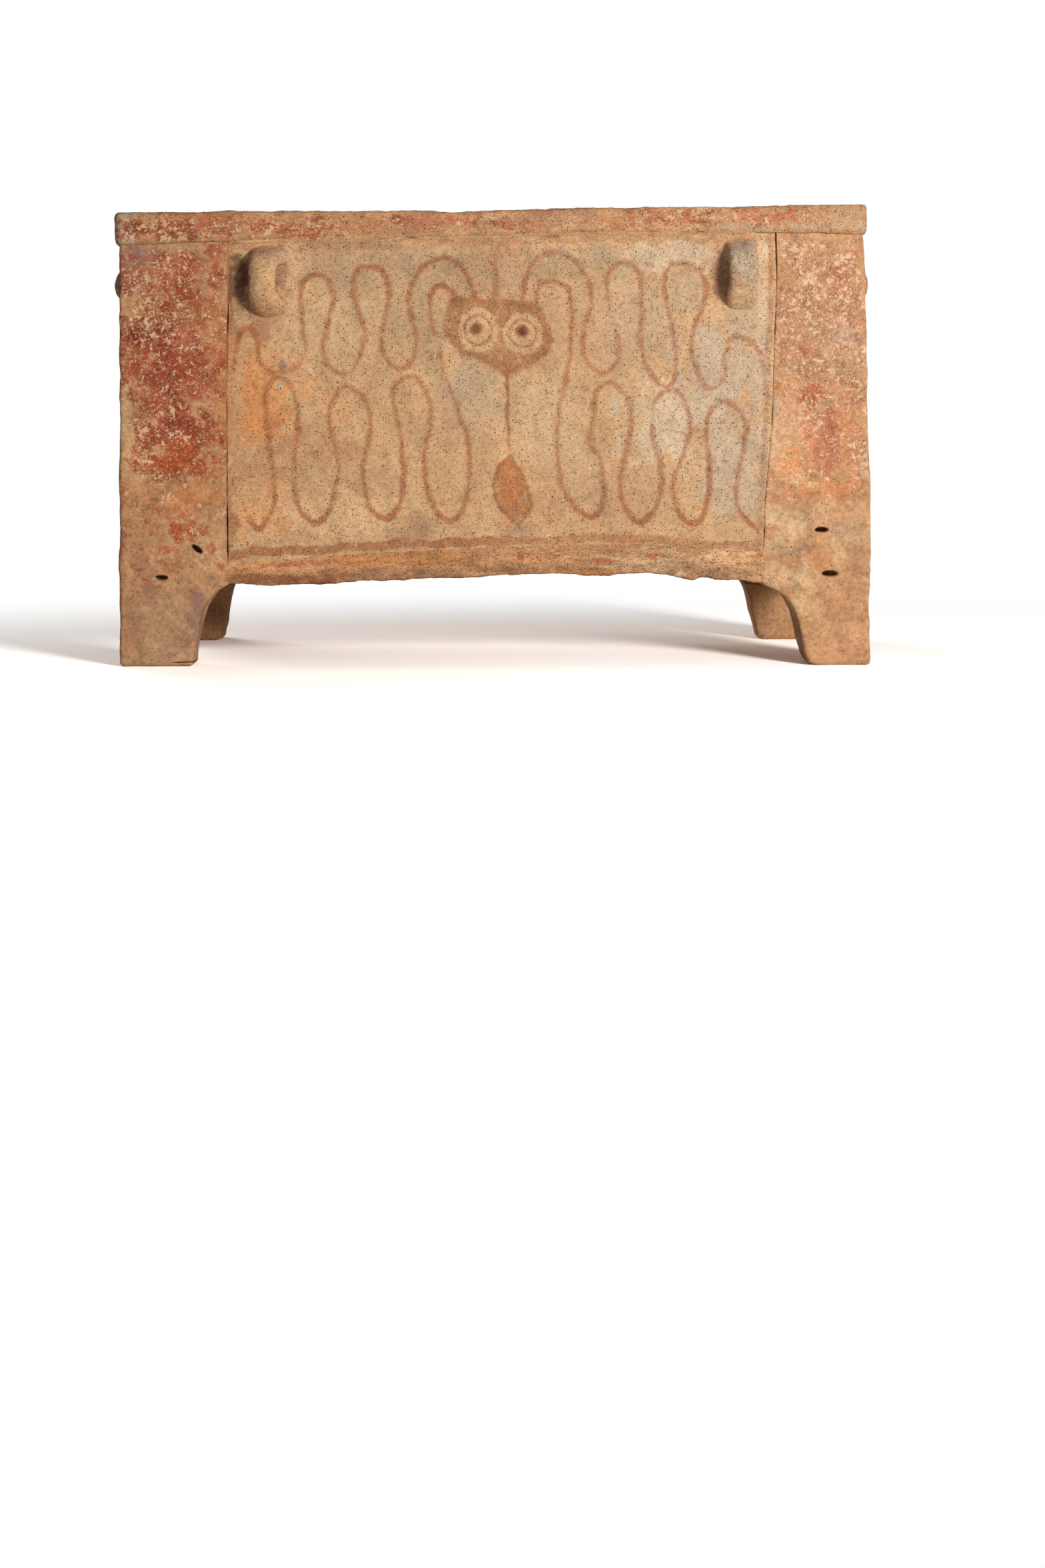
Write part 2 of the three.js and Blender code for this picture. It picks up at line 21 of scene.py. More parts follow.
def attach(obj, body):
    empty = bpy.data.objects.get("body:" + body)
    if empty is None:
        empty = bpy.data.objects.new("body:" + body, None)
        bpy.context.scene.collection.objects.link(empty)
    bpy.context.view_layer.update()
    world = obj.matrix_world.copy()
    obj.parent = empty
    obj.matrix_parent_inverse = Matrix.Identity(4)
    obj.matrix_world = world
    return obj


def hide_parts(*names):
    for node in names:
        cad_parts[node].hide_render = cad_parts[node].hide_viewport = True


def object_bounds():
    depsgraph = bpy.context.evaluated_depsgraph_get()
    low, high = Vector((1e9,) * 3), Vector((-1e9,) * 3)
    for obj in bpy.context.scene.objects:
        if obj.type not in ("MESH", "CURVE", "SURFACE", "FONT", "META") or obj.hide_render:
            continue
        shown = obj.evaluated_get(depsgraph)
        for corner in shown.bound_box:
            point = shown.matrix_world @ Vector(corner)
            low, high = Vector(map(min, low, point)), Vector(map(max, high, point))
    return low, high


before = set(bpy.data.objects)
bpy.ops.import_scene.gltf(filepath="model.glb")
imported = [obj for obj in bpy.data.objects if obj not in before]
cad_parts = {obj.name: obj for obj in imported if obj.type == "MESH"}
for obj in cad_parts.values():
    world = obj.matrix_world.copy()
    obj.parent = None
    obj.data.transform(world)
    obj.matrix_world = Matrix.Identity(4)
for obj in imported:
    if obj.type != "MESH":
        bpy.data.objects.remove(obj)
cad_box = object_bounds()

LOG = logging.getLogger("chest")
Array = np.ndarray
Colour = tuple[float, float, float]
Knots = Sequence[tuple[float, float]]
MM = 0.001


# Curves, noise and colours


def ease(low: float, high: float, value: Array) -> Array:
    """Smooth step: 0 at low, 1 at high, with level ends.

    Args:
        low: Where the step starts; it may be above high, for a falling step.
        high: Where it ends.
        value: The values to step.

    Returns:
        Shares from 0 to 1: 3 s^2 - 2 s^3 of the clipped way from low to high.
    """
    share = np.clip((value - low) / (high - low), 0.0, 1.0)
    return share * share * (3.0 - 2.0 * share)


def curve_through(at: Array, knots: Knots) -> Array:
    """Smooth curve through given points, level beyond both ends.

    Args:
        at: Places where the curve is wanted.
        knots: Pairs of place and value, in rising order of place.

    Returns:
        Cubic Hermite values, whose slope at each knot is the mean slope of its neighbours.
    """
    place, value = np.array(knots, float).T
    slope = np.gradient(value, place)
    at = np.clip(at, place[0], place[-1])
    left = np.clip(np.searchsorted(place, at, side="right") - 1, 0, len(place) - 2)
    span = place[left + 1] - place[left]
    t = (at - place[left]) / span
    t2, t3 = t * t, t * t * t
    return ((2 * t3 - 3 * t2 + 1) * value[left] + (t3 - 2 * t2 + t) * span * slope[left]
            + (3 * t2 - 2 * t3) * value[left + 1] + (t3 - t2) * span * slope[left + 1])


def signed_power(value: Array, power: Array | float) -> Array:
    """The size of a value raised to a power, with the value's own sign."""
    return np.sign(value) * np.abs(value) ** power


def quarter_fall(gap: Array, radius: float) -> Array:
    """How far a quarter circle has fallen back at a gap from its outer edge: r - sqrt(r^2 - (r - gap)^2)."""
    return radius - np.sqrt(radius ** 2 - np.clip(radius - gap, 0, radius) ** 2)


def blended(first: Array, second: Array | Sequence[float] | float, share: Array) -> Array:
    """Numbers or colours part of the way from the first to the second, by each point's share."""
    return first + (np.asarray(second) - first) * (share[..., None] if first.ndim > share.ndim else share)


@dataclass(frozen=True)
class Ripple:
    """A seeded random field without a grid: sine waves of about one length in random directions, summed."""

    length: float
    seed: int
    waves: int = 26

    def at(self, points: Array) -> Array:
        """Values of about unit spread at points.

        Args:
            points: Places, with x, y and z along the last axis.

        Returns:
            One value for each place: the sum of the sines, times the root of two over their number.
        """
        draw = np.random.default_rng(self.seed)
        heading = draw.normal(size=(self.waves, 3))
        heading /= np.linalg.norm(heading, axis=1, keepdims=True)
        pitch = draw.uniform(0.6, 1.5, self.waves) * (2 * math.pi / self.length)
        phase = draw.uniform(0, 2 * math.pi, self.waves)
        return np.sin(points @ (heading * pitch[:, None]).T + phase).sum(axis=-1) * math.sqrt(2 / self.waves)


def rippled(points: Array, parts: Sequence[tuple[float, int, float]]) -> Array:
    """Sum of ripples at points, each part giving its length, its seed and its share."""
    return sum(share * Ripple(length, seed).at(points) for length, seed, share in parts)


WALL_SWAY = ((0.42, 14, 0.0006), (0.075, 11, 0.00060))
HAND_LUMPS = ((0.026, 12, 0.00024), (0.0105, 13, 0.00012))


def clay_relief(points: Array, roughness: float = 1.0) -> Array:
    """How far hand-worked clay stands out from its plan.

    Args:
        points: Places on the plan surface.
        roughness: Scale of the two finer kinds of lump.

    Returns:
        Heights: a slow sway and broad lumps, plus two finer sizes of lump, from the same field for every
        piece, so that neighbours meet flush.
    """
    return rippled(points, WALL_SWAY) + roughness * rippled(points, HAND_LUMPS)


def clay(red: float, green: float, blue: float) -> Colour:
    """Linear colour of a screen colour given from 0 to 255."""
    return tuple(((c / 255 + 0.055) / 1.055) ** 2.4 if c > 10 else c / 3294 for c in (red, green, blue))


# Skins: closed surfaces made of rings


def placed(name: str, data: bpy.types.ID) -> bpy.types.Object:
    """Makes an object and links it to the scene.

    Args:
        name: Its name.
        data: The mesh, lamp or camera that it holds.

    Returns:
        The object, at the origin.
    """
    made = bpy.data.objects.new(name, data)
    bpy.context.scene.collection.objects.link(made)
    return made


@dataclass
class Skin:
    """Rings of points carried along a path, closed round each ring and capped or joined at the ends."""

    rings: Array
    looped: bool = False

    def __post_init__(self) -> None:
        """Turns the rings round if the skin would face inwards."""
        if self._volume() < 0:
            self.rings = self.rings[:, ::-1].copy()

    def _corners(self) -> tuple[Array, Array, Array, Array]:
        """Corners of the faces between neighbouring rings.

        Returns:
            Four arrays, ring by place, one for each corner in order round a face.
        """
        ahead = np.roll(self.rings, -1, axis=0)
        here = self.rings
        if not self.looped:
            here, ahead = here[:-1], ahead[:-1]
        return here, ahead, np.roll(ahead, -1, axis=1), np.roll(here, -1, axis=1)

    def _volume(self) -> float:
        """Signed volume of the skin.

        Returns:
            A third of each face's area vector times its middle, summed, with the caps.
        """
        a, b, c, d = self._corners()
        total = (np.cross(c - a, d - b) / 2 * (a + b + c + d) / 4).sum() / 3
        if not self.looped:
            for ring, sign in ((self.rings[0], 1.0), (self.rings[-1], -1.0)):
                beside = np.roll(ring, -1, axis=0)
                total += sign * (np.cross(ring, beside).sum(axis=0) / 2 * ring.mean(axis=0)).sum() / 3
        return float(total)

    def normals(self) -> Array:
        """Unit normals.

        Returns:
            Outward directions, square to the differences along the path and round the ring.
        """
        if self.looped:
            along = np.roll(self.rings, -1, axis=0) - np.roll(self.rings, 1, axis=0)
        else:
            along = np.gradient(self.rings, axis=0)
        around = np.roll(self.rings, -1, axis=1) - np.roll(self.rings, 1, axis=1)
        normal = np.cross(along, around)
        return normal / np.maximum(np.linalg.norm(normal, axis=-1, keepdims=True), 1e-12)

    def pushed(self, height: Array) -> "Skin":
        """The skin moved outwards by a height at each point."""
        return Skin(self.rings + self.normals() * height[..., None], self.looped)

    def piece(self, name: str) -> bpy.types.Object:
        """Makes the mesh object.

        Args:
            name: The piece's name.

        Returns:
            An object at the origin whose quads, and two end faces if it isn't looped, all face out.
        """
        count, around = self.rings.shape[:2]
        spans = count if self.looped else count - 1
        ring, spot = np.meshgrid(np.arange(spans), np.arange(around), indexing="ij")
        ahead, beside = (ring + 1) % count, (spot + 1) % around
        quads = np.stack([ring * around + spot, ahead * around + spot, ahead * around + beside,
                          ring * around + beside], axis=-1).reshape(-1, 4)
        loops = [quads.ravel()]
        sizes = [np.full(len(quads), 4)]
        if not self.looped:
            loops += [np.arange(around), np.arange(around)[::-1] + (count - 1) * around]
            sizes += [np.array([around, around])]
        corners, counts = np.concatenate(loops), np.concatenate(sizes)
        mesh = bpy.data.meshes.new(name)
        mesh.vertices.add(count * around)
        mesh.vertices.foreach_set("co", self.rings.astype(np.float32).ravel())
        mesh.loops.add(len(corners))
        mesh.loops.foreach_set("vertex_index", corners.astype(np.int32))
        mesh.polygons.add(len(counts))
        mesh.polygons.foreach_set("loop_start", np.concatenate([[0], np.cumsum(counts)[:-1]]).astype(np.int32))
        mesh.update(calc_edges=True)
        mesh.validate()
        mesh.polygons.foreach_set("use_smooth", np.ones(len(mesh.polygons), bool))
        return placed(name, mesh)


def paired(*pairs: tuple[Array, Array]) -> Array:
    """Pairs of arrays as one array, row by pair by two."""
    return np.stack([np.stack(pair, -1) for pair in pairs], axis=1)


def rounded_rings(corners: Array, cuts: Array, bends: Sequence[int], runs: Sequence[int]) -> Array:
    """Outlines with eased corners, one for each ring.

    Args:
        corners: Corner places, ring by corner by two.
        cuts: How far before and after each corner the rounding starts and ends, ring by corner by two.
        bends: Points on each corner's curve.
        runs: Points on the straight that follows each corner.

    Returns:
        Points, ring by place by two. A corner is the quadratic curve whose middle control point is the
        corner itself, and a straight is divided evenly.
    """
    count = corners.shape[1]
    ahead = np.roll(corners, -1, axis=1) - corners
    length = np.linalg.norm(ahead, axis=2, keepdims=True)
    heading = ahead / length
    before = corners - np.roll(heading, 1, axis=1) * np.minimum(cuts[..., :1], np.roll(length, 1, axis=1) * 0.48)
    after = corners + heading * np.minimum(cuts[..., 1:], length * 0.48)
    parts = []
    for k in range(count):
        t = np.linspace(0, 1, bends[k])[None, :, None]
        parts.append((1 - t) ** 2 * before[:, k, None] + 2 * t * (1 - t) * corners[:, k, None]
                     + t ** 2 * after[:, k, None])
        s = (np.arange(1, runs[k] + 1) / (runs[k] + 1))[None, :, None]
        parts.append((1 - s) * after[:, k, None] + s * before[:, (k + 1) % count, None])
    return np.concatenate(parts, axis=1)


def stations(length: float, step: float, fine: Sequence[float]) -> Array:
    """Places along a line from its start: even steps, with extra ones close to both ends.

    Args:
        length: Where the line ends.
        step: About how far apart the even places are.
        fine: Distances from both ends that get a place of their own, in rising order.

    Returns:
        The places in rising order.
    """
    inner = np.linspace(0.0, length, int(round(length / step)) + 1)
    margin = fine[-1] + step / 2
    extra = np.array([0.0, *fine])
    return np.sort(np.concatenate([inner[(inner > margin) & (inner < length - margin)], extra, length - extra]))


# The chest's plan: sides, seams and edges


@dataclass(frozen=True)
class Plan:
    """Sizes of the chest, as the frame has them, and how its walls stray from straight lines."""

    length: float = 1.068
    depth: float = 0.464
    wall_height: float = 0.616
    wall_rise: float = 0.013
    leaf: float = 0.040
    recess: float = 0.0034
    panel: float = 0.032
    rail_setback: float = 0.0015
    rail_top: float = 0.166
    ledge: float = 0.014
    floor_top: float = 0.160
    floor_depth: float = 0.020
    lean_from: float = 0.408
    swell_from: float = 0.42
    left_swell: float = 0.0026
    lean_knots: Knots = (
        (0.0, 0.0098), (0.114, 0.0098), (0.19, 0.0108), (0.235, 0.0108), (0.364, 0.0074),
        (0.48, 0.0052), (0.579, 0.0026), (0.616, 0.0))

    def wall_top(self, x: Array) -> Array:
        """Height of the walls' upper edge, rising evenly to the right."""
        return self.wall_height + self.wall_rise * (x / self.length)

    def leaned(self, points: Array) -> Array:
        """Moves points at both ends outwards, at the right end most near the ground.

        Args:
            points: Places on the upright plan.

        Returns:
            Places on the leaning chest: x grows by the lean at that height, in proportion to the way
            from lean_from to the end. At the left it falls by the swell, from swell_from outwards.
        """
        half = self.length / 2
        right = np.clip((points[..., 0] - self.lean_from) / (half - self.lean_from), 0, 1.2)
        left = np.clip((-points[..., 0] - self.swell_from) / (half - self.swell_from), 0, 1.2)
        moved = points.copy()
        moved[..., 0] += right * curve_through(points[..., 2], self.lean_knots) - left * self.left_swell
        return moved

    def upright_x(self, x: Array, z: Array) -> Array:
        """The x on the upright plan of a place read off the leaning front, by undoing the lean."""
        lean = curve_through(z, self.lean_knots) / (self.length / 2 - self.lean_from)
        return np.where(x > self.lean_from, (x + lean * self.lean_from) / (1 + lean), x)


PLAN = Plan()


class Side(Enum):
    """The four sides, by the direction that each faces."""

    FRONT = (0.0, -1.0)
    RIGHT = (1.0, 0.0)
    BACK = (0.0, 1.0)
    LEFT = (-1.0, 0.0)

    def half(self) -> float:
        """Distance from the middle of the chest to this side's plane."""
        return (PLAN.length if self.value[0] else PLAN.depth) / 2

    def reach(self) -> float:
        """Half of the length of this side, from its middle to the corner."""
        return (PLAN.depth if self.value[0] else PLAN.length) / 2

    def place(self, along: Array, inward: Array, height: Array) -> Array:
        """World places of side coordinates.

        Args:
            along: Distance to the right of the middle, seen from outside.
            inward: Depth behind the side's plane.
            height: Height above the ground.

        Returns:
            The outward direction times the remaining half width, plus the rightward direction times
            along, at that height.
        """
        out_x, out_y = self.value
        reach = self.half() - inward
        return np.stack(np.broadcast_arrays(
            out_x * reach - out_y * along, out_y * reach + out_x * along, height), axis=-1)


@dataclass(frozen=True)
class SideLines:
    """Where the seams, arches and rail edges of one side run, in side coordinates."""

    left_edge: Knots
    right_edge: Knots
    under: Knots
    over: Knots

    def left(self, z: Array) -> Array:
        """Place of the left post's inner edge at a height: the leg, its arch and then the seam."""
        return curve_through(z, self.left_edge)

    def right(self, z: Array) -> Array:
        """Place of the right post's inner edge at a height."""
        return curve_through(z, self.right_edge)


def _metres(knots: Knots) -> Knots:
    """Knots in metres of knots in millimetres."""
    return tuple((a * MM, b * MM) for a, b in knots)


def _edge(knots: Knots, sign: float, half: float) -> Knots:
    """Edge knots of a leaf whose widths are given in millimetres from the corner.

    Args:
        knots: Pairs of height and width.
        sign: -1 for the left leaf and 1 for the right one.
        half: Half the side's span.

    Returns:
        Pairs of height and place along the side, in metres.
    """
    return tuple((z * MM, sign * (half - width * MM)) for z, width in knots)


def _long_leaf(foot: float, knee: float, knee_height: float, seat: float, top: float, arch: float) -> tuple:
    """Widths of a plainly made leaf, in millimetres: straight leg, quarter arch, then a straight seam.

    Args:
        foot: Width at the ground.
        knee: Width where the arch starts.
        knee_height: Height at which it starts.
        seat: Width beside the rail.
        top: Width at the wall's top.
        arch: Height of the arch's top.

    Returns:
        Pairs of height and width.
    """
    rise = arch - knee_height
    reach = seat - knee
    return ((0, foot), (knee_height * 0.5, (foot + knee) / 2), (knee_height, knee),
            (knee_height + rise * 0.45, knee + reach * 0.16), (knee_height + rise * 0.78, knee + reach * 0.45),
            (knee_height + rise * 0.94, knee + reach * 0.76), (arch, seat), (arch + 3, seat), (300, seat),
            (625, top))


HALF_LENGTH, HALF_DEPTH = PLAN.length / 2, PLAN.depth / 2
END_LEAF = _long_leaf(90, 96, 60, 104, 104, 91)
END_LINES = SideLines(
    left_edge=_edge(END_LEAF, -1, HALF_DEPTH), right_edge=_edge(END_LEAF, 1, HALF_DEPTH),
    under=_metres(((-130, 91), (-118, 101), (-104, 110), (-86, 117), (-45, 124), (0, 127), (45, 124), (86, 117),
                   (104, 110), (118, 101), (130, 91))),
    over=_metres(((-130, 163), (-60, 168), (0, 169.5), (60, 168), (130, 163))))
LINES = {
    Side.FRONT: SideLines(
        left_edge=_metres(((0, -431.5), (18, -430), (35, -427.5), (55, -424), (75, -419), (89, -412.5),
                           (101, -403.5), (110, -394.5), (115.5, -386), (118, -381.5), (121, -381.5),
                           (300, -382.2), (450, -381.8), (540, -379.8), (620, -379.3))),
        right_edge=tuple((z * MM, float(PLAN.upright_x(np.array(x * MM), np.array(z * MM)))) for z, x in (
            (0, 459), (3, 456), (9, 452.6), (23, 448), (43, 443.4), (64, 438.6), (83, 431.9), (96, 422.6),
            (105, 412.8), (112, 399), (116, 389), (119, 388), (166, 389), (180, 391), (232, 392.5),
            (275, 396.6), (299, 399), (337, 402.4), (378, 404.4), (421, 405.4), (493, 408.2), (555, 410.4),
            (620, 408.6))),
        under=_metres(((-385, 118.5), (-378, 119.5), (-366, 119.8), (-352, 119), (-340, 117), (-320, 116.3),
                       (-290, 117), (-260, 118.5), (-230, 119.3), (-200, 121.8), (-170, 123), (-130, 124.6),
                       (-60, 126), (-20, 128), (10, 130.2), (60, 131.2), (150, 130.8), (250, 130.4),
                       (270, 127.5), (283, 123.2), (290, 122.6), (297, 126), (310, 126), (322, 123.4),
                       (350, 122.6), (370, 119.5), (384, 117.5), (392, 116.5))),
        over=_metres(((-385, 150), (-305, 154.6), (-229, 161.5), (-133, 166.4), (-37, 171), (1, 172),
                      (107, 176), (203, 177), (251, 175), (318, 170), (385, 164), (392, 163.5)))),
    Side.BACK: SideLines(
        left_edge=_edge(_long_leaf(102, 114, 45, 151, 146, 110), -1, HALF_LENGTH),
        right_edge=_edge(_long_leaf(94, 106, 58, 150, 150, 117), 1, HALF_LENGTH),
        under=_metres(((-392, 109), (-372, 116.5), (-330, 121), (-200, 126), (-50, 130), (60, 129), (200, 125),
                       (300, 121), (386, 117))),
        over=_metres(((-392, 160), (-200, 169), (-50, 172.5), (100, 170), (250, 163), (386, 158)))),
    Side.RIGHT: END_LINES,
    Side.LEFT: END_LINES,
}


# Painted lines of the front wall, in millimetres. Faded and strong places have a middle, a radius and an
# amount.


ARMS = {
    "upper_left": (
        (-23, 526), (-28, 539), (-32, 553), (-40, 570), (-54, 584), (-71, 590), (-88, 584), (-103, 570),
        (-114, 553), (-120, 533), (-119, 513), (-115, 496), (-110, 480), (-109, 463), (-111, 446), (-120, 434),
        (-135, 427), (-147, 436), (-156, 451), (-160, 468), (-159, 485), (-155, 499), (-151, 513), (-148, 530),
        (-149, 547), (-154, 561), (-165, 573), (-179, 575), (-192, 570), (-198, 556), (-199, 539), (-195, 522),
        (-190, 505), (-185, 491), (-183, 474), (-186, 457), (-192, 440), (-200, 426), (-213, 421), (-226, 422),
        (-237, 433), (-242, 451), (-241, 468), (-237, 485), (-234, 502), (-231, 516), (-229, 533), (-231, 547),
        (-238, 559), (-252, 564), (-265, 560), (-273, 547), (-276, 530), (-275, 513), (-273, 496), (-271, 480),
        (-269, 465), (-271, 451), (-278, 436), (-290, 427), (-306, 423), (-323, 426), (-332, 437), (-336, 451),
        (-338, 468), (-341, 480), (-347, 487), (-355, 488), (-362, 481), (-367, 467), (-371, 451), (-373, 436)),
    "lower_left": (
        (-53, 530), (-58, 540), (-67, 546), (-78, 547), (-87, 539), (-90, 525), (-88, 508), (-85, 491), (-80, 474),
        (-76, 451), (-70, 429), (-63, 403), (-54, 381), (-45, 355), (-38, 336), (-34, 316), (-33, 299), (-33, 282),
        (-34, 265), (-37, 245), (-43, 226), (-52, 214), (-63, 208), (-74, 214), (-84, 226), (-91, 243), (-96, 262),
        (-98, 282), (-97, 302), (-95, 319), (-92, 336), (-89, 353), (-88, 370), (-91, 386), (-99, 402), (-111, 414),
        (-124, 416), (-137, 406), (-141, 389), (-140, 372), (-137, 353), (-133, 336), (-131, 319), (-129, 299),
        (-128, 282), (-128, 262), (-131, 243), (-138, 223), (-151, 212), (-165, 216), (-176, 228), (-182, 245),
        (-185, 265), (-185, 285), (-182, 305), (-178, 324), (-175, 344), (-175, 361), (-180, 378), (-190, 392),
        (-204, 401), (-218, 398), (-229, 384), (-234, 367), (-233, 347), (-228, 327), (-225, 307), (-222, 288),
        (-223, 268), (-228, 248), (-235, 226), (-244, 212), (-255, 206), (-266, 212), (-276, 223), (-282, 240),
        (-285, 262), (-286, 285), (-284, 307), (-281, 327), (-280, 347), (-280, 367), (-282, 386), (-288, 401),
        (-297, 413), (-309, 417), (-320, 410), (-325, 395), (-327, 378), (-326, 355), (-323, 333), (-319, 310),
        (-316, 288), (-314, 265), (-314, 243), (-319, 223), (-326, 207), (-337, 200), (-348, 207), (-355, 220),
        (-358, 234)),
    "upper_right": (
        (44, 523), (45, 539), (48, 556), (54, 573), (67, 588), (84, 595), (101, 593), (118, 583), (132, 567),
        (140, 550), (142, 530), (140, 508), (136, 491), (133, 474), (132, 457), (137, 440), (149, 425), (162, 421),
        (173, 426), (181, 437), (183, 451), (183, 465), (179, 482), (173, 502), (170, 522), (167, 539), (166, 556),
        (171, 570), (182, 578), (193, 581), (205, 575), (214, 564), (216, 547), (216, 528), (215, 508), (214, 488),
        (214, 468), (216, 451), (221, 434), (231, 419), (240, 408), (250, 402), (260, 410), (264, 426), (266, 443),
        (264, 460), (261, 480), (258, 499), (252, 519), (248, 536), (249, 556), (255, 571), (267, 580), (281, 579),
        (293, 571), (303, 559), (311, 543), (308, 530), (302, 513), (293, 496), (288, 480), (287, 463), (289, 446),
        (295, 426), (303, 409), (312, 398), (324, 403), (333, 417), (334, 437), (339, 457), (344, 471), (355, 476),
        (365, 472), (378, 461), (386, 446), (391, 426), (393, 406), (394, 386), (395, 367)),
    "lower_right": (
        (64, 523), (65, 536), (70, 549), (82, 554), (98, 551), (109, 543), (114, 525), (115, 508), (115, 491),
        (114, 471), (113, 451), (109, 429), (104, 406), (98, 386), (95, 367), (93, 344), (93, 322), (94, 302),
        (96, 279), (100, 260), (108, 243), (118, 228), (130, 220), (143, 215), (154, 222), (160, 245), (160, 265),
        (158, 285), (153, 302), (146, 313), (141, 322), (142, 344), (145, 367), (148, 386), (157, 402), (171, 408),
        (185, 399), (195, 386), (199, 367), (200, 347), (197, 327), (193, 307), (188, 288), (184, 268), (186, 248),
        (192, 228), (202, 214), (214, 207), (228, 216), (237, 231), (243, 251), (245, 271), (243, 291), (238, 307),
        (234, 322), (232, 339), (232, 355), (234, 375), (241, 389), (252, 397), (265, 395), (276, 384), (283, 367),
        (285, 350), (284, 330), (279, 313), (271, 293), (263, 274), (261, 254), (264, 234), (271, 217), (281, 206),
        (293, 205), (303, 214), (310, 234), (312, 257), (312, 279), (310, 302), (308, 324), (309, 347), (313, 367),
        (322, 378), (334, 381), (347, 375), (357, 364), (363, 350), (365, 333), (362, 313), (357, 293), (353, 274),
        (350, 254), (352, 234), (360, 217), (371, 206), (383, 196)),
}
HEAD = ((-64.3, 520.2), (-60.2, 529.1), (-45.1, 533.8), (-27.3, 533.8), (-8.1, 531.7), (9.7, 528.5), (23.5, 531.7),
        (38.5, 529.8), (53.6, 524.7), (68.7, 519.2), (78.3, 506.2), (85.9, 487.0), (88.2, 470.5), (85.2, 455.4),
        (76.9, 443.1), (63.2, 432.8), (46.8, 427.4), (37.2, 419.9), (24.8, 415.1), (12.5, 420.6), (0.1, 430.2),
        (-16.3, 437.1), (-32.8, 443.3), (-49.2, 451.6), (-60.9, 462.6), (-68.4, 474.9), (-70.6, 491.4),
        (-68.4, 507.8))
SPIKE = ((4.3, 595.5), (1.2, 574.9), (-1.8, 529.6), (11.9, 529.6), (9.7, 574.9))
BUD = ((26, 307), (14, 296), (5, 286), (0.5, 262), (1.5, 245), (10, 226), (24, 211), (39, 200), (50, 212),
       (58, 229), (56, 245), (50, 265), (40, 284), (32, 299))
STEM = ((22, 436), (22, 410), (22, 380), (23, 350), (24, 330), (26, 308))
FADED = ((-272, 455, 22, 0.2), (-362, 470, 26, 0.05), (-283, 300, 30, 0.1), (-82, 468, 9, 0.6), (-70, 425, 22, 0.2),
         (172, 505, 20, 0.5), (238, 360, 16, 0.2), (245, 450, 14, 0.25), (330, 395, 18, 0.2), (393, 400, 30, 0.2),
         (-230, 300, 22, 0.15), (-355, 225, 18, 0.2), (-200, 425, 16, 0.25), (150, 235, 14, 0.1),
         (-277, 395, 22, 0.15), (98, 330, 40, 0.1))
STRONG = ((-165, 575, 30, 0.35), (-260, 555, 22, 0.2), (-255, 210, 20, 0.45), (-150, 214, 24, 0.35),
          (-70, 585, 50, 0.25), (-337, 203, 14, 0.5), (-125, 270, 30, 0.2), (-62, 212, 20, 0.2),
          (214, 210, 24, 0.35), (290, 208, 30, 0.3), (145, 215, 20, 0.3), (310, 255, 30, 0.25),
          (186, 240, 24, 0.25), (305, 545, 14, 0.15), (-78, 545, 16, 0.3), (365, 210, 18, 0.2),
          (-350, 478, 24, 0.4), (22, 400, 26, 0.5), (23, 345, 30, 0.45))


@dataclass(frozen=True)
class Eye:
    """A painted eye: its middle and radius, its pupil's middle and radius, and how clear it still is."""

    x: float
    z: float
    radius: float
    pupil_x: float
    pupil_z: float
    pupil: float
    clear: float


EYES = (Eye(-20.6, 483.4, 27.0, -23.2, 485.6, 6.8, 0.6), Eye(45.1, 478.2, 25.6, 43.8, 481.6, 7.4, 1.0))


def line_distance(spots: Array, route: Knots) -> Array:
    """Distance from spots to a route of straight pieces.

    Args:
        spots: Places on the wall, in millimetres, last axis across and up.
        route: The route's points.

    Returns:
        The least distance to any piece, each one to the nearest point on it.
    """
    route = np.array(route, float)
    least = np.full(spots.shape[:-1], 1e9)
    for start, end in zip(route[:-1], route[1:]):
        step = end - start
        share = np.clip(((spots - start) @ step) / max(step @ step, 1e-9), 0, 1)
        least = np.minimum(least, np.linalg.norm(spots - start - share[..., None] * step, axis=-1))
    return least


def depth_in(spots: Array, outline: Knots) -> Array:
    """Signed depth inside an outline.

    Args:
        spots: Places on the wall, in millimetres.
        outline: The outline's corners, in order.

    Returns:
        Distance to the outline, above zero inside. A spot is inside where a level line from it crosses
        the outline an odd number of times.
    """
    corners = np.array(outline, float)
    inside = np.zeros(spots.shape[:-1], bool)
    for (x0, z0), (x1, z1) in zip(corners, np.roll(corners, -1, axis=0)):
        if z0 == z1:
            continue
        crosses = ((z0 > spots[..., 1]) != (z1 > spots[..., 1]))
        inside ^= crosses & (spots[..., 0] < (x1 - x0) * (spots[..., 1] - z0) / (z1 - z0) + x0)
    distance = line_distance(spots, [*outline, outline[0]])
    return np.where(inside, distance, -distance)


def smooth_route(route: Knots, steps: int = 3) -> Array:
    """A route with a smooth curve in place of its corners.

    Args:
        route: Given points.
        steps: Pieces between two points.

    Returns:
        Points of the curve through them, found with the order of the points as its place.
    """
    order = np.arange(len(route), dtype=float)
    at = np.linspace(0, len(route) - 1, (len(route) - 1) * steps + 1)
    across, up = np.array(route, float).T
    return np.stack([curve_through(at, list(zip(order, across))), curve_through(at, list(zip(order, up)))], -1)


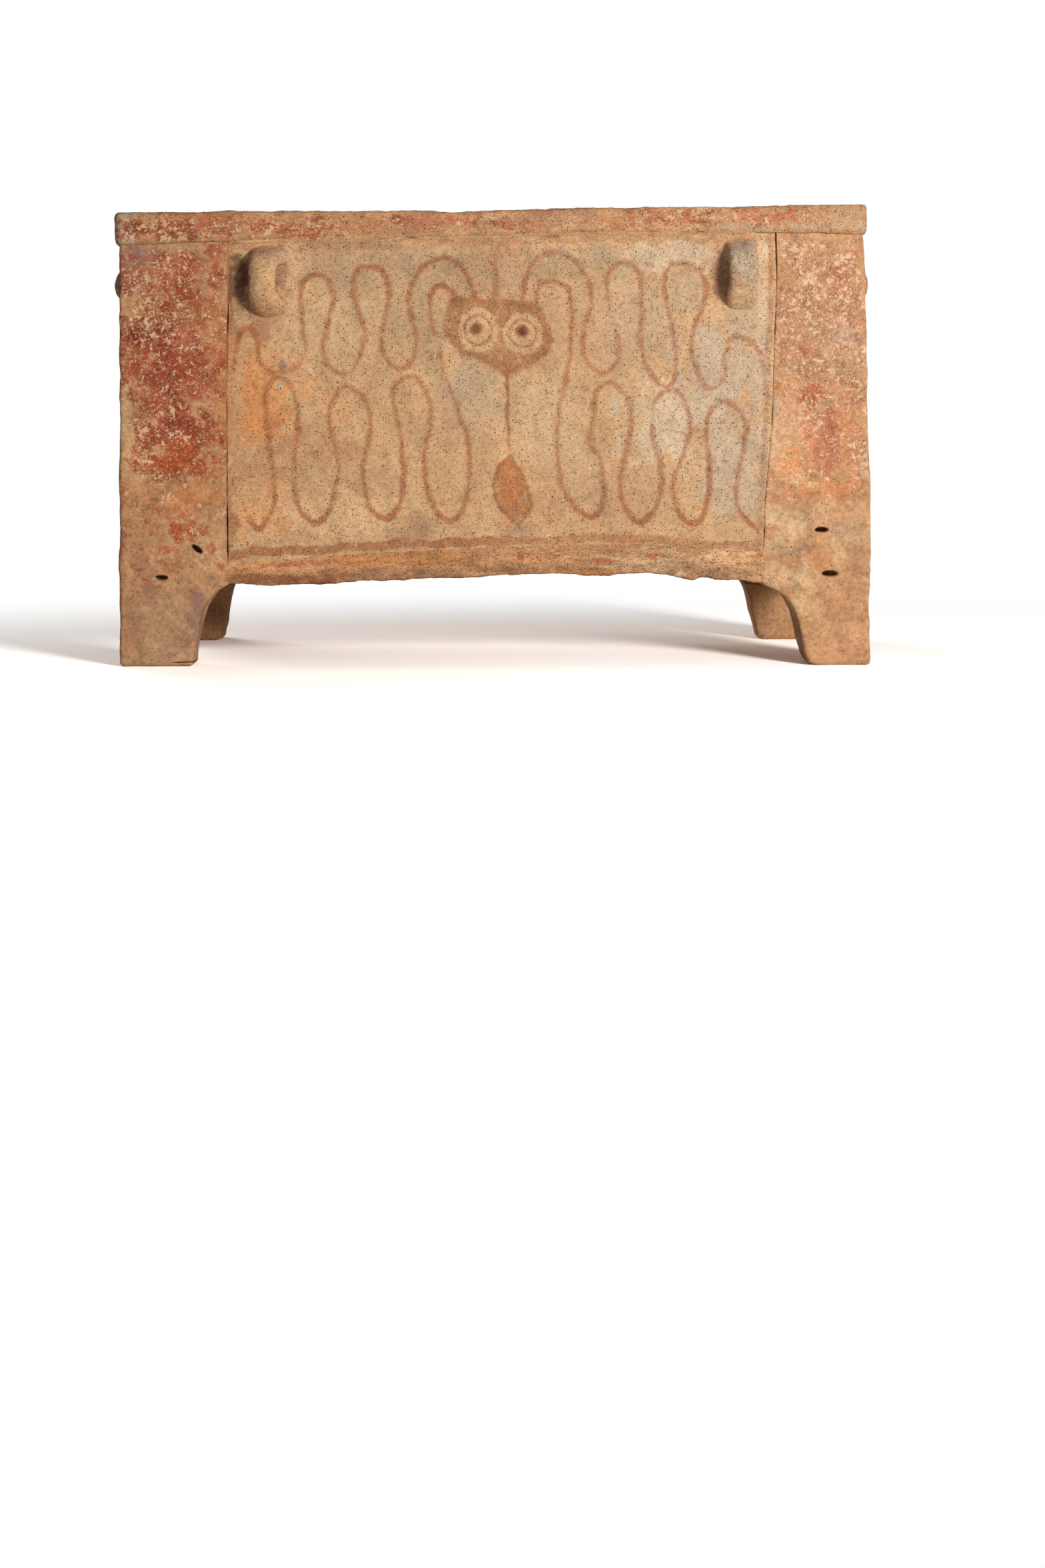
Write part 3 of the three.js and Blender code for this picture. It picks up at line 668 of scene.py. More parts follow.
@dataclass(frozen=True)
class OctopusPainting:
    """The octopus on the front wall: two wavy arms on each side, a broad head with ringed eyes, a spike
    above it and a bud that hangs from it on a stem."""

    arm_width: float = 10.0
    stem_width: float = 5.2
    eye_stretch: float = 1.10
    softness: float = 6.0
    wash_softness: float = 11.0
    left_over: float = 0.78

    def cover(self, spots: Array) -> Array:
        """How fully the paint covers each spot.

        Args:
            spots: Places on the front wall, in millimetres.

        Returns:
            Shares where 0.5 is the edge of a line: half plus the depth inside the line over the
            softness, a little less along the line's middle, times the strength that is left there.
        """
        half = self.arm_width / 2
        depth = np.full(spots.shape[:-1], -1e3)
        for route in ARMS.values():
            depth = np.maximum(depth, half - line_distance(spots, smooth_route(route)))
        depth = np.maximum(depth, self.stem_width / 2 - line_distance(spots, STEM))
        depth = np.maximum(depth, depth_in(spots, SPIKE))
        edge = 0.5 + depth / self.softness - 0.22 * ease(1.2, 3.6, depth)
        return np.clip(edge, 0, 1) * self._strength(spots)

    def fill(self, spots: Array) -> Array:
        """Cover of the filled head and bud.

        Args:
            spots: Places on the front wall, in millimetres.

        Returns:
            Shares: fullest along the outline and thinner inside. Each eye is a pale ring, a brown ring,
            another pale ring and a brown disc with the pupil, by share of its radius.
        """
        head = depth_in(spots, smooth_route([*HEAD, HEAD[0]]))
        wash = np.clip(0.5 + head / self.wash_softness, 0, 1) * (0.74 + 0.18 * ease(18.0, 6.0, head))
        for eye in EYES:
            away = np.hypot(spots[..., 0] - eye.x, (spots[..., 1] - eye.z) / self.eye_stretch) / eye.radius
            disc = 1.0 - 0.55 * eye.clear
            rings = curve_through(away, ((0, disc), (0.34, disc * 0.8), (0.46, 0.12), (0.56, 0.10), (0.64, 0.85),
                                         (0.72, 1.0), (0.77, 0.8), (0.84, 0.02), (0.97, 0.0), (1.05, 0.6),
                                         (1.12, 1.0)))
            wash = np.where(away < 1.12, np.maximum(wash, 0.72) * rings, wash)
            dot = np.hypot(spots[..., 0] - eye.pupil_x, spots[..., 1] - eye.pupil_z)
            wash = wash + 0.8 * ease(eye.pupil + 4.0, eye.pupil - 1.0, dot)
        bud = depth_in(spots, smooth_route([*BUD, BUD[0]]))
        wash = np.maximum(wash, np.clip(0.5 + bud / self.softness, 0, 1) * (0.62 + 0.36 * ease(8.0, 2.5, bud)))
        return wash

    def pupils(self, spots: Array) -> Array:
        """Where a pupil's dark lies.

        Args:
            spots: Places on the front wall, in millimetres.

        Returns:
            Share of each spot that lies in it.
        """
        dark = np.zeros(spots.shape[:-1])
        for eye in EYES:
            away = np.hypot(spots[..., 0] - eye.pupil_x, spots[..., 1] - eye.pupil_z)
            dark += eye.clear * ease(eye.pupil + 1.5, eye.pupil - 3.5, away)
        return dark

    def _strength(self, spots: Array) -> Array:
        """What time has left of the lines.

        Args:
            spots: Places on the front wall, in millimetres.

        Returns:
            A base share, less near faded places and more near strong ones.
        """
        strength = np.full(spots.shape[:-1], self.left_over)
        for signed, places in ((-1.0, FADED), (1.0, STRONG)):
            for x, z, radius, amount in places:
                near = np.exp(-((spots[..., 0] - x) ** 2 + (spots[..., 1] - z) ** 2) / radius ** 2)
                strength = strength + signed * amount * near
        return np.clip(strength, 0.12, 1.25)


# Coats: where clay, paint, flecks, grime and some painted shade lie


class Layer(Enum):
    """The fields on a piece's points, by the name of the attribute that holds each."""

    # By the front handles the clay tint also holds painted shadow and a painted highlight, and the grime cover also
    # holds painted shade.
    CLAY = "clay_tint"
    PAINT = "paint_tint"
    COVER = "paint_cover"
    FLECK = "fleck_cover"
    GRIME = "grime_cover"
    LINES = "line_cover"
    FILLS = "fill_cover"
    PUPILS = "pupil_cover"


class Kind(Enum):
    """Kinds of piece, which differ in coat and in finish, by the material slot that each takes."""

    POST = "post_clay"
    PAINTED = "painted_panel_clay"
    WALL = "panel_clay"
    RAIL = "rail_clay"
    RIM = "rim_clay"
    HANDLE = "handle_clay"
    FLOOR = "floor_clay"


Fields = dict[Layer, Array]
CLAY_DRIFT = ((0.16, 31, 0.3), (0.055, 32, 0.14))
PAINT_DRIFT = ((0.06, 35, 0.35),)
COVER_SWAY = ((0.09, 33, 0.6), (0.034, 34, 0.4))
FLECK_SWAY = ((0.045, 36, 0.26),)
RAGGED = ((0.050, 37, 0.20), (0.018, 38, 0.17), (0.0075, 39, 0.12))
WOBBLE = ((0.05, 51, 2.2), (0.017, 52, 1.2))


class Tint(Enum):
    """The clays, from cream to the dark brown of painted shadow, and the paints, from blush to dark red, that the
    patches take.
    """

    CREAM = (231, 188, 139)
    CHALK = (212, 188, 158)
    BUFF = (211, 176, 135)
    ASH = (199, 175, 148)
    PEACH = (228, 165, 112)
    SAND = (208, 165, 119)
    STONE = (193, 165, 134)
    DUN = (188, 155, 120)
    FAWN = (199, 150, 109)
    APRICOT = (214, 141, 85)
    TAN = (181, 142, 108)
    OCHRE = (193, 133, 81)
    HAZEL = (173, 127, 95)
    SMOKE = (144, 115, 101)
    RUSSET = (165, 95, 52)
    # Painted shadow: the dark brown laid where the left front handle casts its shadow on the wall.
    PAINTED_SHADOW = (81, 36, 22)
    BLUSH = (221, 166, 134)
    FADED = (212, 151, 111)
    AMBER = (220, 143, 87)
    HONEY = (197, 136, 89)
    ROSE = (193, 111, 84)
    DUSTY = (174, 115, 87)
    BRICK = (168, 95, 70)
    RUST = (178, 82, 40)
    RED = (161, 75, 50)
    DEEP_RED = (145, 57, 34)
    DARK_RED = (126, 44, 25)

    def colour(self) -> Colour:
        """The tint as a linear colour."""
        return clay(*self.value)


@dataclass(frozen=True)
class Patch:
    """A soft-edged oval on the front where one field turns to another value. Sizes are in millimetres."""

    layer: Layer
    x: float
    z: float
    across: float
    up: float
    value: Tint | float
    strength: float = 0.7
    turn: float = 0.0

    def weight(self, spots: Array, ragged: Array) -> Array:
        """Share of the patch's value at each spot.

        Args:
            spots: Places on the front, in millimetres.
            ragged: Noise that makes the edge uneven.

        Returns:
            The strength, easing to nothing across the oval's ragged edge.
        """
        dx, dz = spots[..., 0] - self.x, spots[..., 1] - self.z
        cos, sin = math.cos(self.turn), math.sin(self.turn)
        radius = np.hypot((dx * cos + dz * sin) / self.across, (dz * cos - dx * sin) / self.up)
        return self.strength * ease(1.40, 0.60, radius + ragged)


def _patches(layer: Layer, *rows: tuple) -> tuple[Patch, ...]:
    """Patches of one layer, in the order in which they are laid.

    Args:
        layer: The field that they change.
        rows: Across, up, half width, half height and value, then strength and turn if they aren't usual.

    Returns:
        The patches in the same order.
    """
    return tuple(Patch(layer, *row) for row in rows)


def seam_dirt(upright: Array) -> Array:
    """Dirt in the front's two seams.

    Args:
        upright: Places on the upright plan.

    Returns:
        Its share: much within a millimetre of the left seam, some at the right one, none under the panel.
    """
    lines, z = LINES[Side.FRONT], upright[..., 2]
    left = ease(0.0015, 0.0007, np.abs(upright[..., 0] - lines.left(z))) * 0.5
    right = ease(0.0013, 0.0005, np.abs(upright[..., 0] - lines.right(z))) * 0.15
    return np.maximum(left, right) * ease(0.160, 0.176, z)


@dataclass(frozen=True)
class Coat:
    """What one kind of piece is coated with before its patches: two clays that drift into each other,
    two paints that do the same, and how much of the rest there is."""

    clays: tuple[Colour, Colour]
    paints: tuple[Colour, Colour]
    cover: float = 0.0
    cover_sway: float = 0.0
    fleck: float = 0.2
    grime: float = 0.0
    patches: tuple[Patch, ...] = ()

    def fields(self, upright: Array, leaned: Array) -> Fields:
        """Works the coat out on a piece's points.

        Args:
            upright: The points on the upright plan, which tell the outside from the inside.
            leaned: The points as they stand, where the patches were read off.

        Returns:
            Each layer's values. Clay and paint drift between their two tints with slow noise. Cover is
            the coat's own, swayed by noise and kept to the outside. The patches are laid over them in
            order, and dirt in the front's seams over the patches.
        """
        drift, paint_drift = (np.clip(0.5 + rippled(leaned, parts), 0, 1) for parts in (CLAY_DRIFT, PAINT_DRIFT))
        depth = np.minimum(HALF_LENGTH - np.abs(upright[..., 0]), HALF_DEPTH - np.abs(upright[..., 1]))
        outside = ease(0.020, 0.007, depth)
        made = {
            Layer.CLAY: blended(np.array(self.clays[:1]), self.clays[1], drift),
            Layer.PAINT: blended(np.array(self.paints[:1]), self.paints[1], paint_drift),
            Layer.COVER: np.clip(self.cover + self.cover_sway * rippled(leaned, COVER_SWAY), 0, 1) * outside,
            Layer.FLECK: np.clip(self.fleck + rippled(leaned, FLECK_SWAY), 0, 1) * outside,
            Layer.GRIME: np.full(depth.shape, self.grime),
        }
        spots = np.stack([leaned[..., 0], leaned[..., 2]], axis=-1) / MM
        ragged = rippled(leaned, RAGGED)
        near_front = ease(-0.185, -0.212, leaned[..., 1])
        for patch in self.patches:
            value = patch.value.colour() if isinstance(patch.value, Tint) else patch.value
            made[patch.layer] = blended(made[patch.layer], value, patch.weight(spots, ragged) * near_front)
        clean = 1 - seam_dirt(upright) * near_front
        made[Layer.CLAY] *= clean[..., None]
        made[Layer.COVER] *= clean
        return made


PANEL_PATCHES = (
    *_patches(
        Layer.CLAY,
        (-345, 385, 55, 90, Tint.APRICOT, 0.9), (-290, 420, 60, 45, Tint.PEACH),
        (-250, 315, 75, 22, Tint.FAWN, 0.85), (-345, 285, 45, 30, Tint.FAWN), (-225, 360, 22, 22, Tint.PEACH, 0.6),
        (-230, 215, 120, 34, Tint.CREAM), (-330, 225, 40, 40, Tint.PEACH), (-230, 480, 70, 60, Tint.BUFF),
        (-190, 575, 110, 32, Tint.DUN), (-330, 520, 30, 60, Tint.HAZEL, 0.6), (-110, 480, 45, 70, Tint.DUN, 0.75),
        (-150, 385, 70, 70, Tint.SAND, 0.6), (-30, 395, 40, 45, Tint.STONE), (10, 575, 150, 26, Tint.DUN, 0.75),
        (10, 592, 30, 16, Tint.FAWN, 0.6), (70, 350, 60, 60, Tint.BUFF, 0.8), (-60, 260, 60, 60, Tint.SAND),
        (-105, 195, 34, 22, Tint.TAN, 0.75), (75, 240, 34, 50, Tint.FAWN), (38, 196, 22, 9, Tint.SMOKE, 0.6),
        (170, 330, 34, 38, Tint.SAND, 0.75), (110, 300, 40, 60, Tint.BUFF, 0.5),
        (255, 350, 60, 60, Tint.CHALK, 0.75), (330, 430, 60, 60, Tint.ASH, 0.8), (350, 290, 45, 75, Tint.ASH, 0.8),
        (215, 500, 60, 60, Tint.STONE, 0.6), (280, 545, 26, 26, Tint.STONE, 0.6), (365, 510, 30, 40, Tint.STONE),
        (240, 590, 110, 18, Tint.CHALK), (160, 585, 50, 20, Tint.DUN, 0.6), (200, 200, 170, 14, Tint.SAND, 0.6),
        (392, 480, 9, 130, Tint.CHALK, 0.6), (28, 250, 21, 38, Tint.APRICOT, 0.8),
        # Painted shade: the first two patches of this line darken the hollow under the left handle's strap and lay
        # the left handle's cast shadow on the wall to its left. The first patch of the next line is painted shadow
        # too, cast by the right handle on the wall to its left.
        (-301, 566, 10, 14, Tint.TAN, 0.5), (-368, 553, 16, 48, Tint.PAINTED_SHADOW, 0.75),
        (325, 560, 8, 32, Tint.HAZEL, 0.75), (-262, 425, 5, 5, Tint.CHALK, 0.8), (-305, 405, 4, 4, Tint.CHALK, 0.8),
        (-302, 434, 4, 4, Tint.SMOKE), (-292, 465, 6, 4, Tint.CHALK, 0.6), (-367, 440, 9, 100, Tint.SAND),
        (-367, 300, 9, 60, Tint.FAWN, 0.6), (328, 366, 24, 28, Tint.CHALK, 0.6), (322, 470, 20, 20, Tint.ASH, 0.6)),
    *_patches(
        Layer.GRIME,
        (-15, 560, 40, 30, 0.75, 0.8), (80, 570, 55, 28, 0.6, 0.8), (130, 590, 40, 16, 0.6),
        (-120, 560, 40, 26, 0.4), (-90, 460, 40, 40, 0.4), (350, 590, 24, 16, 0.8, 0.8),
        # Painted shade: the first patch of this line darkens and specks the hollow under the left handle's strap.
        (-308, 570, 12, 26, 0.75, 0.8), (320, 405, 28, 20, 0.5), (15, 560, 20, 30, 0.5, 0.6),
        (325, 355, 30, 26, 0.45), (-190, 400, 30, 26, 0.4, 0.6)))

LEFT_POST_PATCHES = (
    *_patches(
        Layer.CLAY,
        (-512, 592, 34, 22, Tint.SMOKE, 0.85), (-505, 555, 20, 26, Tint.SMOKE, 0.6),
        (-445, 604, 48, 5, Tint.TAN, 0.85), (-405, 556, 26, 24, Tint.TAN, 0.75), (-527, 350, 9, 68, Tint.SAND, 0.9),
        (-398, 480, 16, 70, Tint.OCHRE, 0.8), (-392, 370, 12, 60, Tint.OCHRE, 0.8),
        (-430, 505, 30, 16, Tint.RUSSET), (-430, 250, 40, 26, Tint.OCHRE), (-410, 165, 28, 26, Tint.SAND, 0.85),
        (-470, 70, 50, 50, Tint.TAN), (-520, 60, 18, 50, Tint.HAZEL, 0.6), (-490, 122, 13, 20, Tint.HAZEL, 0.8),
        (-505, 150, 12, 8, Tint.HAZEL, 0.6), (-428, 88, 15, 28, Tint.HAZEL, 0.95), (-436, 35, 10, 14, Tint.HAZEL),
        (-425, 60, 8, 40, Tint.SMOKE, 0.6), (-487, 127, 4, 3, Tint.CHALK, 0.95), (-480, 15, 40, 14, Tint.DUN, 0.6),
        (-535, 175, 5, 14, Tint.RUSSET)),
    *_patches(
        Layer.PAINT,
        (-460, 400, 90, 260, Tint.RED, 0.8), (-450, 335, 60, 42, Tint.DEEP_RED),
        (-470, 430, 26, 48, Tint.DEEP_RED, 0.75), (-480, 505, 40, 22, Tint.DARK_RED),
        (-430, 470, 36, 26, Tint.RED, 0.6), (-500, 460, 22, 30, Tint.DEEP_RED, 0.6),
        (-440, 300, 62, 22, Tint.RUST, 0.8), (-440, 236, 34, 18, Tint.AMBER, 0.8),
        (-490, 470, 26, 20, Tint.DEEP_RED, 0.6), (-400, 600, 14, 10, Tint.BRICK, 0.8),
        (-440, 545, 26, 22, Tint.DEEP_RED, 0.6), (-452, 190, 22, 18, Tint.RUST, 0.8),
        (-515, 100, 14, 12, Tint.RED, 0.8), (-520, 500, 14, 20, Tint.DARK_RED, 0.6)),
    *_patches(
        Layer.COVER,
        (-455, 450, 95, 240, 0.88, 0.85), (-460, 250, 90, 70, 0.6, 0.6), (-512, 592, 30, 20, 0.45),
        (-445, 604, 46, 5, 0.05, 0.9), (-395, 505, 20, 70, 0.42, 0.8), (-392, 370, 14, 66, 0.2, 0.85),
        (-527, 350, 10, 68, 0.0, 0.95), (-405, 556, 24, 22, 0.35), (-430, 505, 28, 14, 0.35),
        (-435, 395, 18, 16, 0.4), (-525, 430, 10, 16, 0.4), (-395, 420, 16, 20, 0.3), (-440, 300, 60, 22, 1.0, 0.8),
        (-450, 340, 50, 40, 1.0), (-400, 600, 14, 10, 1.0, 0.9), (-430, 258, 45, 16, 0.25),
        (-400, 285, 20, 14, 0.35, 0.6), (-500, 240, 34, 26, 0.55), (-440, 236, 32, 16, 0.8, 0.8),
        (-505, 205, 26, 22, 0.55), (-452, 192, 20, 16, 0.85, 0.9), (-465, 160, 18, 14, 0.6, 0.8),
        (-400, 225, 18, 16, 0.5, 0.6), (-455, 138, 8, 22, 0.45), (-524, 100, 16, 12, 0.5, 0.8),
        (-517, 25, 6, 8, 0.6, 0.8), (-478, 24, 4, 4, 0.6, 0.8), (-395, 138, 14, 4, 0.6, 0.8), (-510, 6, 18, 6, 0.4),
        (-536, 130, 3, 80, 0.6, 0.6), (-440, 35, 9, 12, 0.45), (-398, 500, 16, 60, 0.62, 0.8),
        (-395, 400, 12, 50, 0.5), (-400, 330, 14, 24, 0.75), (-470, 430, 40, 50, 0.95), (-460, 560, 60, 24, 0.85),
        (-500, 440, 24, 60, 0.85), (-455, 420, 70, 44, 0.97), (-460, 300, 60, 30, 0.97, 0.6),
        (-428, 98, 30, 26, 0.08, 0.85)),
    *_patches(
        Layer.FLECK,
        (-460, 440, 90, 180, 0.55, 0.8), (-492, 545, 38, 34, 0.9, 0.9), (-468, 572, 30, 26, 0.85, 0.8),
        (-500, 508, 30, 22, 1.0, 0.9), (-455, 502, 26, 22, 0.8, 0.8), (-490, 480, 16, 12, 1.0, 0.8),
        (-482, 440, 24, 20, 0.75, 0.8), (-445, 455, 26, 16, 0.75, 0.8), (-447, 408, 18, 16, 0.85, 0.8),
        (-470, 388, 24, 18, 0.85, 0.85), (-500, 372, 26, 14, 0.8, 0.8), (-505, 320, 18, 40, 0.95, 0.85),
        (-470, 330, 24, 18, 0.75, 0.8), (-440, 328, 16, 10, 0.9, 0.8), (-525, 480, 12, 26, 0.7),
        (-430, 440, 18, 18, 0.7), (-492, 268, 30, 14, 0.9, 0.8), (-430, 262, 24, 10, 0.9, 0.8),
        (-400, 300, 14, 10, 0.8, 0.8), (-510, 600, 30, 16, 0.3), (-445, 415, 50, 30, 0.4, 0.6)),
    *_patches(
        Layer.GRIME,
        (-490, 408, 16, 9, 1.0, 0.9), (-500, 373, 7, 5, 0.9, 0.9), (-470, 430, 20, 30, 0.5),
        (-430, 60, 4, 4, 0.8, 0.8), (-405, 118, 14, 10, 0.7, 0.8)))

RIGHT_POST_PATCHES = (
    *_patches(
        Layer.CLAY,
        (470, 450, 80, 170, Tint.DUN, 0.8), (405, 370, 14, 34, Tint.ASH), (425, 330, 26, 60, Tint.BUFF),
        (412, 300, 12, 26, Tint.CREAM, 0.6), (403, 271, 22, 6, Tint.FAWN), (430, 210, 45, 22, Tint.BUFF, 0.85),
        (500, 215, 40, 20, Tint.FAWN), (412, 169, 32, 8, Tint.DUN, 0.8, -0.15), (450, 152, 14, 16, Tint.SMOKE),
        (466, 150, 18, 15, Tint.OCHRE, 0.75), (505, 165, 14, 20, Tint.CREAM), (528, 150, 22, 34, Tint.HAZEL, 0.75),
        (520, 190, 24, 20, Tint.DUN, 0.8), (430, 130, 40, 18, Tint.BUFF), (538, 122, 3, 3, Tint.CHALK, 0.95),
        (455, 84, 22, 26, Tint.SAND, 0.8), (520, 45, 26, 34, Tint.FAWN, 0.85), (492, 60, 8, 60, Tint.FAWN),
        (440, 85, 10, 20, Tint.BUFF, 0.6), (470, 30, 24, 26, Tint.FAWN), (530, 95, 16, 30, Tint.FAWN),
        (535, 300, 6, 30, Tint.CHALK, 0.8), (525, 465, 8, 6, Tint.SMOKE, 0.6), (527, 432, 7, 6, Tint.CHALK),
        (500, 480, 26, 24, Tint.ASH, 0.6)),
    *_patches(
        Layer.PAINT,
        (475, 450, 90, 200, Tint.DUSTY, 0.8), (500, 560, 16, 22, Tint.BRICK), (468, 430, 24, 16, Tint.RED, 0.6),
        (490, 345, 36, 24, Tint.DUSTY, 0.75), (455, 385, 20, 20, Tint.RUST), (425, 402, 26, 16, Tint.HONEY),
        (480, 256, 60, 14, Tint.AMBER, 0.75), (430, 320, 34, 50, Tint.FADED), (520, 570, 14, 16, Tint.ROSE, 0.6),
        (470, 560, 60, 50, Tint.DUSTY, 0.5), (470, 110, 36, 12, Tint.ROSE), (480, 150, 60, 40, Tint.BLUSH, 0.6),
        (500, 60, 40, 50, Tint.FADED, 0.6), (426, 345, 20, 60, Tint.FADED, 0.75), (502, 335, 28, 54, Tint.HONEY),
        (475, 255, 46, 9, Tint.HONEY, 0.6), (480, 322, 30, 46, Tint.ROSE, 0.6), (433, 303, 18, 24, Tint.AMBER)),
    *_patches(
        Layer.COVER,
        (475, 445, 95, 200, 0.72, 0.85), (425, 400, 28, 16, 0.75), (405, 370, 12, 30, 0.35),
        (415, 300, 20, 44, 0.5, 0.6), (430, 520, 14, 12, 0.4, 0.6), (500, 560, 14, 20, 0.95),
        (490, 345, 36, 24, 0.95), (455, 385, 20, 20, 0.9), (500, 485, 26, 22, 0.5, 0.6),
        (480, 254, 60, 14, 0.75, 0.75), (470, 275, 60, 8, 0.5, 0.6), (410, 235, 14, 26, 0.5, 0.6),
        (430, 205, 70, 22, 0.1, 0.85), (500, 212, 40, 18, 0.15, 0.8), (470, 110, 34, 12, 0.5),
        (528, 150, 20, 30, 0.4), (500, 50, 36, 40, 0.35, 0.6), (525, 30, 18, 22, 0.5, 0.6),
        (490, 185, 60, 12, 0.2, 0.6), (530, 275, 8, 30, 0.5, 0.6), (530, 320, 14, 22, 0.8, 0.6),
        (426, 345, 22, 62, 0.78), (502, 335, 30, 58, 0.97), (475, 255, 46, 9, 0.95), (470, 540, 66, 60, 0.85, 0.6),
        (480, 322, 34, 50, 0.96), (433, 303, 20, 26, 0.85)),
    *_patches(
        Layer.FLECK,
        (475, 440, 100, 190, 0.75, 0.85), (455, 590, 60, 22, 0.95, 0.8), (478, 560, 30, 20, 0.95, 0.85),
        (495, 535, 30, 26, 1.0, 0.85), (522, 560, 16, 20, 0.95, 0.8), (430, 510, 22, 24, 0.9),
        (470, 450, 30, 24, 0.95, 0.85), (492, 500, 20, 30, 0.95), (450, 455, 20, 12, 0.3, 0.6),
        (463, 358, 18, 26, 1.0, 0.85), (492, 305, 18, 22, 0.85, 0.8), (440, 330, 18, 24, 0.8, 0.6),
        (525, 415, 22, 12, 0.8), (525, 300, 14, 26, 0.9, 0.8), (470, 262, 50, 10, 0.95, 0.85),
        (490, 350, 20, 12, 0.35, 0.6), (482, 322, 24, 34, 0.5, 0.6)),
    *_patches(
        Layer.GRIME,
        (425, 165, 20, 5, 0.6, 0.7, -0.3), (470, 210, 24, 14, 0.45, 0.6), (455, 400, 60, 20, 0.3, 0.5),
        (405, 118, 20, 10, 0.7), (506, 10, 6, 18, 0.5)))

RIM_PATCHES = (
    *_patches(
        Layer.COVER,
        (-470, 629, 80, 13, 0.85, 0.85), (-395, 632, 30, 11, 0.75, 0.8), (-325, 632, 34, 12, 0.65),
        (-262, 629, 46, 13, 0.9, 0.85), (-214, 627, 18, 9, 0.75, 0.8), (-180, 634, 28, 14, 0.75, 0.8),
        (-135, 642, 16, 10, 0.85, 0.8), (-80, 640, 46, 10, 0.75, 0.85), (2, 640, 22, 12, 0.75, 0.8),
        (75, 638, 50, 9, 0.55), (165, 640, 28, 14, 0.75, 0.8), (245, 642, 56, 12, 0.8, 0.85),
        (305, 638, 18, 14, 0.7, 0.8), (350, 648, 24, 9, 0.6, 0.8), (415, 644, 52, 11, 0.85, 0.85),
        (485, 644, 38, 10, 0.55), (-20, 622, 40, 7, 0.2, 0.8), (120, 625, 60, 6, 0.15, 0.8),
        (-230, 650, 60, 5, 0.2, 0.8), (-420, 650, 60, 5, 0.35, 0.6), (-450, 630, 110, 15, 0.92),
        (-300, 630, 60, 12, 0.8, 0.6), (-450, 632, 84, 14, 0.98, 0.8)),
    *_patches(
        Layer.PAINT,
        (-470, 628, 60, 14, Tint.DEEP_RED, 0.8), (-262, 629, 42, 14, Tint.RED, 0.8),
        (-135, 642, 14, 10, Tint.DARK_RED, 0.8), (-80, 640, 44, 10, Tint.ROSE, 0.8),
        (0, 640, 20, 12, Tint.DARK_RED, 0.8), (165, 640, 26, 14, Tint.HONEY, 0.9),
        (245, 642, 50, 12, Tint.BRICK, 0.8), (305, 638, 16, 14, Tint.DEEP_RED, 0.8),
        (415, 644, 50, 12, Tint.ROSE, 0.8), (485, 644, 34, 12, Tint.FADED, 0.8), (-325, 632, 26, 10, Tint.RUST),
        (75, 638, 50, 10, Tint.DUSTY)),
    *_patches(
        Layer.CLAY,
        (-525, 632, 20, 26, Tint.ASH), (-440, 645, 60, 8, Tint.OCHRE, 0.6), (-60, 624, 60, 8, Tint.FAWN),
        (-130, 628, 30, 12, Tint.HAZEL), (120, 645, 60, 10, Tint.TAN), (170, 655, 20, 8, Tint.SAND, 0.8),
        (300, 650, 60, 10, Tint.CREAM), (510, 640, 30, 24, Tint.DUN), (400, 630, 110, 8, Tint.STONE)),
    *_patches(
        Layer.FLECK,
        (-420, 630, 160, 18, 0.75, 0.85), (-475, 625, 40, 14, 0.95, 0.85), (-260, 628, 40, 12, 0.85, 0.8),
        (-330, 632, 30, 12, 0.8, 0.8), (-100, 632, 120, 12, 0.5), (235, 634, 40, 9, 0.75), (420, 640, 90, 12, 0.55),
        (-450, 632, 60, 10, 0.6, 0.6)),
    *_patches(
        Layer.GRIME,
        (0, 618, 60, 5, 0.8, 0.8), (120, 623, 70, 5, 0.7, 0.8), (100, 655, 60, 6, 0.8, 0.8),
        (-250, 650, 120, 6, 0.6), (-500, 610, 60, 5, 0.7, 0.8), (-540, 635, 8, 30, 0.8, 0.8),
        (420, 657, 100, 7, 0.7, 0.8), (530, 640, 12, 26, 0.6), (400, 625, 60, 4, 0.7, 0.8), (-480, 650, 60, 5, 0.5)))

